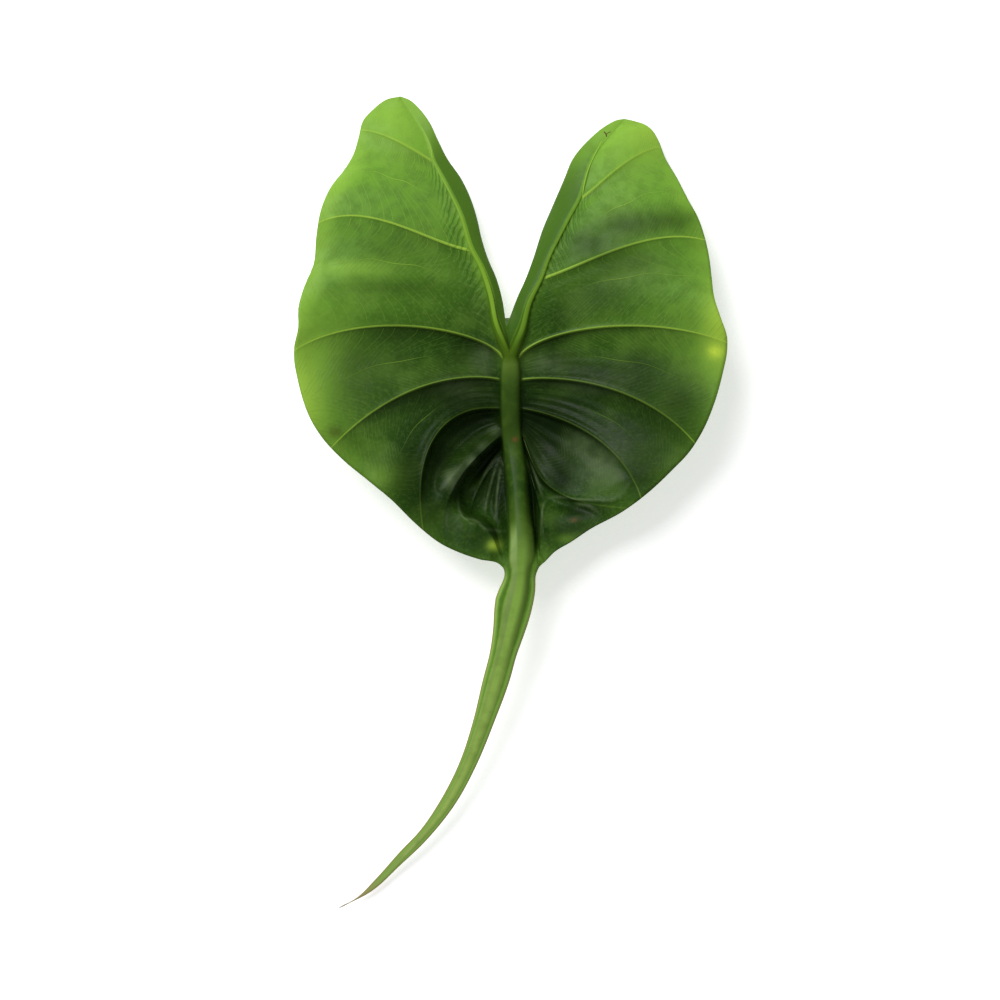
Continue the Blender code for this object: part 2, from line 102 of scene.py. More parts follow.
LEFT_VEIN = [
    (-51.5, 190, 0.7), (-42, 175.5, 4), (-38, 167, 7), (-36, 159.5, 9.5), (-33, 153.5, 11.5),
    (-28.5, 145, 14.5), (-23.5, 134.5, 17.5), (-18, 117.5, 20.5), (-14, 110, 21.5),
    (-9, 96, 23.2), (-6, 82, 24), (-2.5, 74, 23.5), (0, 68.5, 22.5),
]
RIGHT_VEIN = [
    (53.5, 179.5, 0.7), (47.5, 173, 3.5), (42.5, 167, 5.5), (38, 160, 8.2), (34.5, 148.5, 11.5),
    (32.5, 142, 13), (28, 133.5, 16), (23, 124, 18.5), (18, 114, 20.5), (14.5, 104.5, 22),
    (8.5, 92.5, 23.5), (4.5, 79, 24), (2.2, 74, 23.5), (0, 68.5, 22.5),
]
MIDRIB = [
    (0, 68.5, 22.5), (0, 57, 19), (0, 44, 13.5), (0.5, 32, 9), (1.5, 23.5, 9.8), (3, 10.5, 15),
    (4, -3.5, 21), (5, -15, 25.5), (5, -27.5, 28), (4, -39.5, 27.8), (1, -52.5, 26.5),
    (-2.5, -66.5, 24.8), (-7, -82.5, 22.5), (-13.5, -103.5, 18.5), (-22, -125.5, 13.8),
    (-30.5, -141, 10.5), (-46, -160, 7), (-66, -181, 3.6), (-81, -189.5, 2.4),
]

# The leaf's outline. It is the thin cut edge where the blade ends: two lobes with a notch between
# them, and the neck where the blade runs down into the long tail.
LEFT_MARGIN = [
    (-51.5, 190), (-58, 188.5), (-64.5, 183.5), (-68.5, 179), (-71, 170), (-73, 163),
    (-77, 155.5), (-83.5, 146.5), (-87.5, 137), (-90, 123), (-91, 111), (-95.5, 99.5), (-98, 90),
    (-98, 81), (-100, 71.5), (-100, 66), (-98.5, 57.5), (-96, 48), (-92.5, 39), (-86.5, 29.5),
    (-77.5, 20), (-66, 10.5), (-55, 1.5), (-45.5, -8), (-40, -13), (-33.5, -18), (-23.5, -23),
    (-14.5, -26), (-5, -28.5), (-3.2, -30.5), (-2.8, -33), (-4, -37), (-6.3, -41.5), (-7.5, -48.5),
    (-8, -57), (-9.5, -68.5), (-13, -82.5), (-17.5, -101.5), (-23.5, -120), (-33, -139),
    (-42.5, -153), (-51, -162), (-63, -175.5), (-71.5, -184), (-81, -189.5),
]
RIGHT_MARGIN = [
    (53.5, 179.5), (59, 178), (63, 176.5), (66, 174), (69, 169), (72, 161), (77.5, 151),
    (82, 141.5), (87, 132), (90, 123), (92, 113.5), (93, 104), (94, 95), (97, 85.5), (100, 76),
    (100, 70.5), (98, 60), (94, 46), (88.5, 33), (82.5, 23.5), (74.5, 15), (65, 6), (51, -4.5),
    (37, -12), (28, -18), (20.5, -22.5), (16, -27), (13, -30), (11.7, -33.5), (11.5, -39.5),
    (9, -52.5), (5.7, -62.5), (3, -70), (-0.5, -82.5), (-7.5, -101.5), (-15, -120), (-25, -139),
    (-40, -158), (-51.5, -169), (-64.5, -181), (-81, -189.5),
]
LEFT_NOTCH = [
    (-51.5, 190), (-47.5, 188.5), (-42, 183.5), (-38, 178), (-34, 169.5), (-29.5, 160.5),
    (-23, 151), (-18.5, 141.5), (-15.5, 132), (-13.5, 123), (-10.5, 113.5), (-6.5, 104), (-4, 95),
    (-2, 82),
]
RIGHT_NOTCH = [
    (53.5, 179.5), (50, 179), (45, 176.5), (36.5, 169.5), (29, 160.5), (25, 151), (19, 137),
    (15, 127.5), (10.5, 113.5), (7, 104), (3, 95), (0, 87), (-2, 82),
]

# The side veins. Each leaves a main vein nearly square and curves towards the lobe or the neck.
# They carry the blade: it falls off sharply on the tail side of each and climbs to the next one.

# Each is given by its root on the main vein, the points it sets off towards and comes in from, its
# tip on the margin, and the heights along it: at its bed, then three (share of the way out, height).
Rib = namedtuple("Rib", "root leave arrive tip bed near middle far margin")

LEFT_RIBS = [
    Rib((-51.5, 190), None, None, (-51.5, 190), 0.7, (0.3, 0.7), (0.55, 0.7), (0.8, 0.7), 0.7),
    Rib((-36, 159.5), (-46, 165), (-60, 174), (-70, 174),
        9.3, (0.3, 9.8), (0.55, 9.0), (0.8, 6.5), 4.0),
    Rib((-18, 117.5), (-38, 120), (-66, 141), (-88.8, 129.5),
        20, (0.25, 22), (0.5, 23.5), (0.78, 23.5), 22.5),
    Rib((0, 68.5), (-14, 82), (-70, 90), (-99, 70.5),
        19, (0.2, 20.5), (0.45, 25), (0.75, 28.5), 30),
    Rib((0, 57), (-26, 61.5), (-58, 53), (-83, 25.5),
        15.5, (0.2, 17), (0.45, 22.5), (0.75, 27), 29),
    Rib((0, 44), (-34, 47), (-46, 22), (-40.5, -12.5),
        10.5, (0.28, 17.5), (0.5, 22.5), (0.75, 25), 26.5),
    Rib((0.5, 32), (-14, 24), (-37, 4), (-29.5, -20),
        6, (0.3, 12), (0.5, 16), (0.68, 20.5), 25),
    Rib((2.2, 17.5), (-8, 23), (-21, 3), (-21.5, -23.7),
        4.5, (0.35, 4.5), (0.57, 7), (0.69, 24.3), 25),
    Rib((4, -3), (-3, -2), (-10, -14), (-11, -27),
        9.5, (0.25, 8), (0.4, 10.5), (0.56, 25), 26),
    Rib((5, -28), (-1.1, -28.8), (-2.1, -29.6), (-3.2, -30.5),
        26.5, (0.3, 26.5), (0.55, 26.5), (0.8, 26), 25.5),
    Rib((-15.5, -109), None, None, (-20, -109),
        16.5, (0.3, 16.5), (0.55, 16.4), (0.8, 16.2), 16),
    Rib((-81, -189.5), None, None, (-81, -189.5), 2.4, (0.3, 2.4), (0.55, 2.4), (0.8, 2.4), 2.4),
]
RIGHT_RIBS = [
    Rib((53.5, 179.5), None, None, (53.5, 179.5), 0.7, (0.3, 0.7), (0.55, 0.7), (0.8, 0.7), 0.7),
    Rib((32.5, 142), (42, 148), (56, 164), (70, 166),
        12, (0.3, 12.5), (0.55, 11.5), (0.8, 9.5), 7),
    Rib((14.5, 104.5), (36, 110.5), (64, 129), (90.3, 122),
        20.5, (0.25, 22.5), (0.5, 24.5), (0.78, 24.5), 23),
    Rib((0, 68.5), (14, 82), (66, 88), (99.8, 74),
        19, (0.2, 20), (0.45, 24.5), (0.75, 28.5), 30.5),
    Rib((0, 57), (30, 60), (66, 52), (85.5, 27.5),
        15.5, (0.2, 17), (0.45, 22), (0.75, 26.5), 29),
    Rib((0, 44), (26, 41), (52, 28), (60.5, 2),
        9.5, (0.25, 13), (0.5, 19), (0.75, 24), 26),
    Rib((0.5, 32), (12, 18), (9, 0), (54, -2),
        5.5, (0.35, 9.5), (0.55, 17), (0.75, 22), 25),
    Rib((2.2, 17.5), (12, 11), (14, -12), (20.5, -22.5),
        5.5, (0.35, 10), (0.55, 17), (0.75, 24), 25),
    Rib((4, -3), (10.5, -7), (12, -18), (16.5, -26.5),
        9.5, (0.3, 10), (0.5, 15), (0.75, 25), 25.5),
    Rib((5, -28), (11.2, -28.8), (12.1, -29.4), (13, -30),
        26.5, (0.3, 26.5), (0.55, 26.5), (0.8, 26), 25.5),
    Rib((-15.5, -109), None, None, (-10, -109),
        16.5, (0.3, 16.5), (0.55, 16.4), (0.8, 16.2), 16),
    Rib((-81, -189.5), None, None, (-81, -189.5), 2.4, (0.3, 2.4), (0.55, 2.4), (0.8, 2.4), 2.4),
]
CROWN_HALF_WIDTH = (0.25, 0.5, 0.85, 3.6, 4.7, 4.7, 4.7, 5.2, 5.6, 6.2, 3.5, 0.3)  # by station
KEEL_DEPTH = (0.7, 2.0, 4.0, 8.4, 9.0, 9.6, 10.6, 9.8, 8.4, 7.0, 3.7, 0.6)
CROWN_HEIGHT = (0.1, 0.35, 0.55, 1, 1, 1, 1, 1, 1, 0.8, 0.4, 0.8)  # share of what the lists give
CROWN_ROUNDNESS, KEEL_ROUNDNESS = 2.8, 2.6  # 2 is a half circle, and more is squarer
MOST_CROWN = 0.62  # of the way to the margin
NOTCH_HEIGHTS = (0.7, 7.0, 16.5, 20.0)
NOTCH_BEND = 1.5
BESIDE = 0.3  # stations before and after, over which a main vein's direction is taken
CURVE_POINTS = 90
CROWN_STEPS = (0.0, 0.14, 0.28, 0.42, 0.56, 0.69, 0.81, 0.91)  # shares of its half width
SPAN_COLUMNS = (13, 11, 15, 13)  # from the crown out, between the points that set the heights
NOTCH_COLUMNS = 10
NO_WIDTH = 1e-6  # stands in where a row has shrunk to a point


def roundness(over_crown, power):
    inside = np.clip(over_crown, 0.0, 1.0)
    return np.clip(1.0 - inside**power, 0.0, 1.0) ** 0.5


class HalfLeaf:
    """One half, as rows of points across it. A row's station is a whole number on a side vein."""

    def __init__(self, ribs, vein, margin, notch):
        self.ribs = ribs
        self.vein, self.midrib = Path(vein), Path(MIDRIB)
        self.margin, self.notch = Path(margin), Path(notch)
        self.stations = np.arange(len(ribs))
        self.upper = self.ends([self.vein.share_near(r.root) for r in ribs[: AT_JUNCTION + 1]])
        self.lower = self.ends([self.midrib.share_near(r.root) for r in ribs[AT_JUNCTION:]])
        self.tips = self.ends([self.margin.share_near(r.tip) for r in ribs])
        beside = [self.notch.share_near(r.root) for r in ribs[: AT_JUNCTION + 1]]
        self.notch_shares = self.ends(beside)
        self.leaving = [self.handle(r.root, r.leave, r.tip) for r in ribs]
        self.arriving = [self.handle(r.tip, r.arrive, r.root) for r in ribs]
        self.shares = [(r.near[0], r.middle[0], r.far[0]) for r in ribs]
        self.heights = [
            np.array((r.bed, r.near[1], r.middle[1], r.far[1], r.margin)) - self.crown(i)[2]
            for i, r in enumerate(ribs)
        ]

    @staticmethod
    def ends(shares):
        return [0.0, *shares[1:-1], 1.0]

    @staticmethod
    def handle(end, handle, other_end):
        end, other_end = np.array(end, float), np.array(other_end, float)
        return (other_end - end) / 3 if handle is None else np.array(handle, float) - end

    def level(self, values, station):
        return through(self.stations, values, station, level=True)

    def crown(self, station):
        if station <= AT_JUNCTION:
            share = through(self.stations[: AT_JUNCTION + 1], self.upper, station, level=True)
            return self.vein.at(share)
        share = through(self.stations[AT_JUNCTION:], self.lower, station, level=True)
        return self.midrib.at(share)

    def edge(self, station):
        if AT_TAIL < station < AT_END:
            return self.margin.at(self.margin.share_near(self.crown(station)[:2]))
        return self.margin.at(self.level(self.tips, station))

    def across_vein(self, station):
        before, after = max(station - BESIDE, AT_TIP), min(station + BESIDE, AT_END)
        along = self.crown(after)[:2] - self.crown(before)[:2]
        square = np.array([along[1], -along[0]]) / np.linalg.norm(along)
        outward = self.edge(station) - self.crown(station)[:2]
        return square * np.sign(square @ outward)

    def half_width(self, station, length):
        return min(self.level(CROWN_HALF_WIDTH, station), MOST_CROWN * length)

    def curve(self, station):
        """The row seen from above: square across the crown, then one bend out to the margin."""
        root, end = self.crown(station)[:2], self.edge(station)
        start = root + self.across_vein(station) * self.half_width(
            station, np.linalg.norm(end - root)
        )
        leave = root + self.level(self.leaving, station)
        arrive = end + self.level(self.arriving, station)
        if station > AT_TAIL:
            start, leave, arrive = root, root + (end - root) / 3, end + (root - end) / 3
        t = np.linspace(0.0, 1.0, CURVE_POINTS)[:, None]
        points = (
            start * (1 - t) ** 3
            + 3 * leave * t * (1 - t) ** 2
            + 3 * arrive * t**2 * (1 - t)
            + end * t**3
        )
        points = np.vstack([root, points])
        steps = np.linalg.norm(np.diff(points, axis=0), axis=1)
        return points, np.concatenate([[0.0], np.cumsum(steps)])

    def spread(self, station, length, out):
        """Distances from the crown's middle, shares of the way out, and places on the crown."""
        length = max(length, NO_WIDTH)
        width = max(self.half_width(station, length), NO_WIDTH)
        distance = np.concatenate([np.array(CROWN_STEPS) * width, width + out * (length - width)])
        return distance, np.concatenate([np.zeros(len(CROWN_STEPS)), out]), distance / width

    def outer_row(self, station):
        """Places of a row from the crown to the margin, with share out and place on the crown."""
        points, away = self.curve(station)
        knots = np.concatenate([[0.0], through(self.stations, self.shares, station), [1.0]])
        out = np.concatenate(
            [np.linspace(a, b, n, endpoint=False) for a, b, n in zip(knots, knots[1:], SPAN_COLUMNS)]
            + [[1.0]]
        )
        distance, beyond, over = self.spread(station, away[-1], out)
        xy = np.stack([np.interp(distance, away, column) for column in points.T], axis=-1)
        heights = self.level(self.heights, station)
        height = self.crown(station)[2] + through(knots, heights, beyond, level=True)
        high = self.level(CROWN_HEIGHT, station)
        height -= heights[0] * high * roundness(over, CROWN_ROUNDNESS)
        return np.column_stack([xy, height]), beyond, over

    def inner_row(self, station):
        """The same for the strip between a basal vein and the notch."""
        crown, bed = self.crown(station), self.level(self.heights, station)[0]
        places = np.arange(AT_JUNCTION + 1)
        end = self.notch.at(through(places, self.notch_shares, station, level=True))
        length = max(np.linalg.norm(end - crown[:2]), NO_WIDTH)
        out = np.linspace(0.0, 1.0, NOTCH_COLUMNS + 1)
        distance, beyond, over = self.spread(station, length, out)
        xy = crown[:2] + (end - crown[:2]) * (distance / length)[:, None]
        edge = through(places, NOTCH_HEIGHTS, station, level=True) - crown[2]
        height = crown[2] + bed + (edge - bed) * beyond**NOTCH_BEND
        high = self.level(CROWN_HEIGHT, station)
        height -= bed * high * roundness(over, CROWN_ROUNDNESS)
        return np.column_stack([xy, height]), beyond, over


left = HalfLeaf(LEFT_RIBS, LEFT_VEIN, LEFT_MARGIN, LEFT_NOTCH)
right = HalfLeaf(RIGHT_RIBS, RIGHT_VEIN, RIGHT_MARGIN, RIGHT_NOTCH)

# The relief of the blade. Growth faster than the veins made it fall off behind each side vein,
# pleated it finely in the cup and along the basal veins, and waved its margin. The folds that can
# be told apart in the photograph are drawn one by one: x, y along each, height and half width.
STEPS = {  # by station, how far the blade falls behind a side vein
    "left": (0.0, 0.9, 1.3, 2.4, 3.4, 8.5, 8.0, 2.0, 0.5, 0.0, 0.0, 0.0),
    "right": (0.0, 0.9, 1.3, 2.4, 3.2, 4.2, 5.6, 2.8, 0.5, 0.0, 0.0, 0.0),
}
FALLS_REACH = (1.0, 1.0, 1.0, 1.0, 1.0, 0.85, 0.7, 0.66, 0.5, 0.5, 1.0, 1.0)
FALL_POWER = {  # small where the blade falls off sharply, 1 where it rounds over first
    "left": (0.56, 0.56, 0.56, 0.56, 0.56, 0.56, 0.9, 0.9, 0.7, 0.6, 0.6, 0.6),
    "right": (0.56, 0.56, 0.56, 0.56, 0.56, 0.56, 0.6, 0.7, 0.7, 0.6, 0.6, 0.6),
}
FALL_LEAN, FALL_FULLNESS = 0.7, 0.8  # how a fall swells on its way out: powers of the share
WAVE_HEIGHT, WAVE_COUNT, WAVE_LAG = 1.5, 9.0, {"left": 0.0, "right": 1.1}
WAVE_POWER, PLEAT_POWER = 3, 1.5  # waves rise towards the margin and pleats fade towards it
# Pleats: station they lie about, reach in stations, height, number between two side veins
PLEATS = [(5.2, 1.3, 0.6, 5.0), (3.6, 0.8, 0.22, 7.0), (1.7, 0.7, 0.3, 4.0)]
VEIN_HEIGHT, VEIN_HALF_WIDTH, VEIN_TAPER = 0.5, 0.6, (1.15, 0.6)
VEIN_STRENGTH = {
    "left": (0, 0.7, 1, 1, 0.8, 0.3, 0, 0, 0, 0, 0, 0),
    "right": (0, 0.7, 1, 1, 0.85, 0.4, 0.15, 0, 0, 0, 0, 0),
}

Fold = namedtuple("Fold", "points height half_width")
THIN_FOLD, CREST_HALF_WIDTH = 2.0, 0.55  # a raised fold thinner than this gets a painted highlight along its crest
FOLD_ENDS, FOLD_REACH = 0.02, 3  # share of its length it rises over, and half widths it is felt
CUP_X, CUP_Y = (-40, 60), (-20, 40)  # all folds lie inside
FOLDS = [
    Fold([(-4, 33.5), (-9, 29.5), (-13.5, 25.5), (-18.8, 20.4), (-24.8, 15), (-28.2, 10.8),
          (-30.6, 6.5), (-32, 3)], 5.2, 4.4),
    Fold([(-3.5, 29), (-9, 23), (-14, 17), (-18.5, 11.8), (-22, 7), (-24, 2)], -3.4, 2.1),
    Fold([(-22, 28), (-29, 22.5), (-34, 15), (-35.5, 9), (-35, 4)], -1.5, 1.7),
    Fold([(-4.9, 23.8), (-9.6, 17.8), (-15.2, 7.5)], 1.1, 1.2),
    Fold([(-5.4, 21), (-8.6, 10.7), (-11, 1.4), (-11.9, -5.6)], 1.1, 1.1),
    Fold([(-4, 19.2), (-5.8, 8.4), (-6.8, -0.9), (-7.2, -7)], 0.9, 0.9),
    Fold([(-24.5, 3.7), (-24.1, -0.9), (-23.1, -4.7), (-21.3, -7), (-18, -7.5), (-14.3, -9.3),
          (-11.9, -11.7), (-8.6, -12.6), (-2.6, -13.1)], 0.7, 0.8),
    Fold([(9.1, 19.2), (11.4, 13.1), (15.2, 2.3)], 0.6, 1.0),
    Fold([(16.1, 1.4), (14.7, -3.3), (14.3, -8.9), (13.8, -15)], 0.9, 0.9),
    Fold([(16.1, 2.3), (23.1, 2.8), (30.1, 1.9), (39.5, 1.2), (47.4, 1.4), (51.2, 3.3),
          (54.9, 7.9)], 0.9, 1.0),
    Fold([(18, 0), (28, -2), (38, -4.5), (43, -6.5)], -1.6, 2.6),
    Fold([(30.1, 0), (38, -2.5), (42, -6)], 0.7, 0.9),
]


class Near:
    """Finds how far a point is, seen from above, from a line drawn through points."""

    def __init__(self, lines, spacing=0.2):
        places, self.marks = [], []
        for line, mark in lines:
            line = np.array(line, float)[:, :2]
            steps = np.linalg.norm(np.diff(line, axis=0), axis=1)
            along = np.concatenate([[0.0], np.cumsum(steps)])
            wanted = np.linspace(0.0, along[-1], max(int(along[-1] / spacing), 2))
            places += list(np.stack([np.interp(wanted, along, c) for c in line.T], axis=-1))
            self.marks += [(mark, share) for share in wanted / along[-1]]
        self.tree = kdtree.KDTree(len(places))
        for index, place in enumerate(places):
            self.tree.insert((place[0], place[1], 0.0), index)
        self.tree.balance()

    def __call__(self, point):
        _, index, distance = self.tree.find((point[0], point[1], 0.0))
        return distance, *self.marks[index]


side_veins = {
    side: Near([(half.curve(s)[0], s) for s in range(1, AT_TAIL)])
    for side, half in (("left", left), ("right", right))
}
folds = [Near([(Path(fold.points).points, fold)]) for fold in FOLDS]


def relief(half, side, station, beyond):
    vein = int(min(station, AT_END - 1))
    gap = station - vein
    steps = STEPS[side]
    drop = steps[vein] * (1 - gap) + steps[vein + 1] * gap
    reach = half.level(FALLS_REACH, station)
    body = np.sin(np.pi * np.clip(beyond / reach, 0.0, 1.0) ** FALL_LEAN) ** FALL_FULLNESS
    height = -drop * np.sin(np.pi * gap ** FALL_POWER[side][vein]) * body
    for about, stations, high, count in PLEATS:
        here = np.exp(-(((station - about) / stations) ** 2)) * high
        pleats = here * np.cos(2 * np.pi * count * gap) * body
        height = height + pleats * (1 - beyond) ** PLEAT_POWER
    share = half.level(half.tips, station)
    on_blade = np.clip((AT_TAIL - station) / 1.5, 0.0, 1.0) * np.clip(station, 0.0, 1.0)
    waves = np.sin(2 * np.pi * WAVE_COUNT * share + WAVE_LAG[side]) * beyond**WAVE_POWER
    return height + WAVE_HEIGHT * on_blade * waves


def ridges(side, places, beyond):
    """Height added by side veins and folds, how near a fold's crest, and the side vein's distance."""
    added, crests, distances, strengths = np.zeros(len(places)), np.zeros(len(places)), [], []
    for i, (place, out) in enumerate(zip(places, beyond)):
        distance, vein, _ = side_veins[side](place)
        strength = VEIN_STRENGTH[side][int(vein)] * (out > 0)
        narrow = VEIN_HALF_WIDTH * (VEIN_TAPER[0] - VEIN_TAPER[1] * out)
        added[i] = strength * VEIN_HEIGHT * (1 - out) ** 0.5 * np.exp(-((distance / narrow) ** 2))
        in_cup = CUP_X[0] < place[0] < CUP_X[1] and CUP_Y[0] < place[1] < CUP_Y[1]
        if in_cup and out > 0:
            for near in folds:
                away, fold, share = near(place)
                if away < FOLD_REACH * fold.half_width:
                    fade = np.sin(np.pi * np.clip(share, FOLD_ENDS, 1 - FOLD_ENDS)) ** 0.5
                    added[i] += fold.height * fade * np.exp(-((away / fold.half_width) ** 2))
                    if fold.half_width < THIN_FOLD and fold.height > 0:
                        crest = fade * np.exp(-((away / CREST_HALF_WIDTH) ** 2))
                        crests[i] = max(crests[i], crest)
        distances.append(distance)
        strengths.append(strength)
    return added, crests, np.array(distances), np.array(strengths)


# The blade is one closed skin: an upper face, an underside as far below it as the leaf is thick,
# with the side veins and the keel of the main veins standing out below, and a margin 0.65 mm thick.
BLADE_THICKNESS, MARGIN_THICKNESS, LEAST_THICKNESS = 0.8, 0.65, 0.3
VEIN_DEPTH, UNDER_HALF_WIDTH = 1.3, 1.3  # of a side vein below the blade
NO_VEIN_NEAR = 99.0
ROWS_PER_GAP, TAIL_ROWS = 24, 36
CLUSTER = 0.65  # how much closer together the rows lie beside a side vein
UPRIGHT = 1.6  # how far the blade's thickness is measured downwards where it is steep

Point = namedtuple("Point", "place blade below station out over side distance strength crest")


def gap_steps(count):
    even = np.arange(count) / count
    return CLUSTER * (1 - np.cos(np.pi * even)) / 2 + (1 - CLUSTER) * even


def rows_between(first, last, count):
    return [i + f for i in range(first, last) for f in gap_steps(count)]


def finished_row(half, side, station, inner):
    places, beyond, over = half.inner_row(station) if inner else half.outer_row(station)
    if inner:
        distances, strengths = np.full(len(places), NO_VEIN_NEAR), np.zeros(len(places))
        crests = strengths
    else:
        places[:, 2] += relief(half, side, station, beyond)
        added, crests, distances, strengths = ridges(side, places, beyond)
        places[:, 2] += added
    blade = BLADE_THICKNESS + (MARGIN_THICKNESS - BLADE_THICKNESS) * beyond
    keel = half.level(KEEL_DEPTH, station) - BLADE_THICKNESS
    under = strengths * VEIN_DEPTH * (1 - beyond) ** 0.7
    under = under * np.exp(-((distances / UNDER_HALF_WIDTH) ** 2))
    below = np.maximum(keel * roundness(over, KEEL_ROUNDNESS), under)
    sign = -1.0 if side == "left" else 1.0
    return [
        Point(place, b, d, station, -o if inner else o, v * sign, sign, m, s, c)
        for place, b, d, o, v, m, s, c in zip(
            places, blade, below, beyond, over, distances, strengths, crests
        )
    ]


grids = {}
for side, half in (("left", left), ("right", right)):
    blade_rows = rows_between(AT_TIP, AT_TAIL, ROWS_PER_GAP)
    tail_rows = list(np.linspace(AT_TAIL, AT_END, 2 * TAIL_ROWS + 1))
    lobe_rows = rows_between(AT_TIP, AT_JUNCTION, ROWS_PER_GAP) + [AT_JUNCTION]
    grids[side, "outer"] = [finished_row(half, side, s, False) for s in blade_rows + tail_rows]
    grids[side, "inner"] = [finished_row(half, side, s, True) for s in lobe_rows]

ids, points, triangles = {}, [], []
for (side, strip), rows in grids.items():
    numbered = []
    for row in rows:
        for point in row:
            key = tuple(np.round(point.place, 3))
            if key not in ids:
                ids[key] = len(points)
                points.append(point)
        numbered.append([ids[tuple(np.round(p.place, 3))] for p in row])
    turned = (side == "right") == (strip == "outer")
    for near, far in zip(numbered, numbered[1:]):
        for a, b, c, d in zip(near, near[1:], far[1:], far):
            for triangle in ((a, b, c), (a, c, d)):
                if len(set(triangle)) == 3:
                    triangles.append(triangle[::-1] if turned else triangle)

top = np.array([p.place for p in points])
faces = np.array(triangles)
corners = [top[faces[:, k]] for k in range(3)]
square = np.cross(corners[1] - corners[0], corners[2] - corners[0])
normals = np.zeros_like(top)
for k in range(3):
    np.add.at(normals, faces[:, k], square)
normals /= np.linalg.norm(normals, axis=1)[:, None]
normals += UPRIGHT * np.array((0.0, 0.0, 1.0))
normals /= np.linalg.norm(normals, axis=1)[:, None]
bottom = top - normals * np.array([p.blade for p in points])[:, None]
bottom[:, 2] -= [p.below for p in points]
bottom[:, 2] = np.maximum(bottom[:, 2], 0.0)
top[:, 2] = np.maximum(top[:, 2], bottom[:, 2] + LEAST_THICKNESS)

count = len(top)
edges = {(a, b) for t in triangles for a, b in zip(t, t[1:] + t[:1])}
rim = [(a, b) for a, b in edges if (b, a) not in edges]
skin = [tuple(int(i) for i in t) for t in triangles]
skin += [tuple(count + i for i in t[::-1]) for t in skin]
for a, b in sorted(rim):
    skin += [(b, a, count + a), (b, count + a, count + b)]
leaf_mesh = bpy.data.meshes.new("leaf_blade")
leaf_mesh.from_pydata((np.vstack([top, bottom]) * MM).tolist(), [], skin)
leaf_mesh.shade_smooth()


def put_in(name, data):
    """Puts a mesh, a lamp or a camera into the scene as an object of that name."""
    made = bpy.data.objects.new(name, data)
    bpy.context.scene.collection.objects.link(made)
    return made


leaf = put_in("leaf_blade", leaf_mesh)

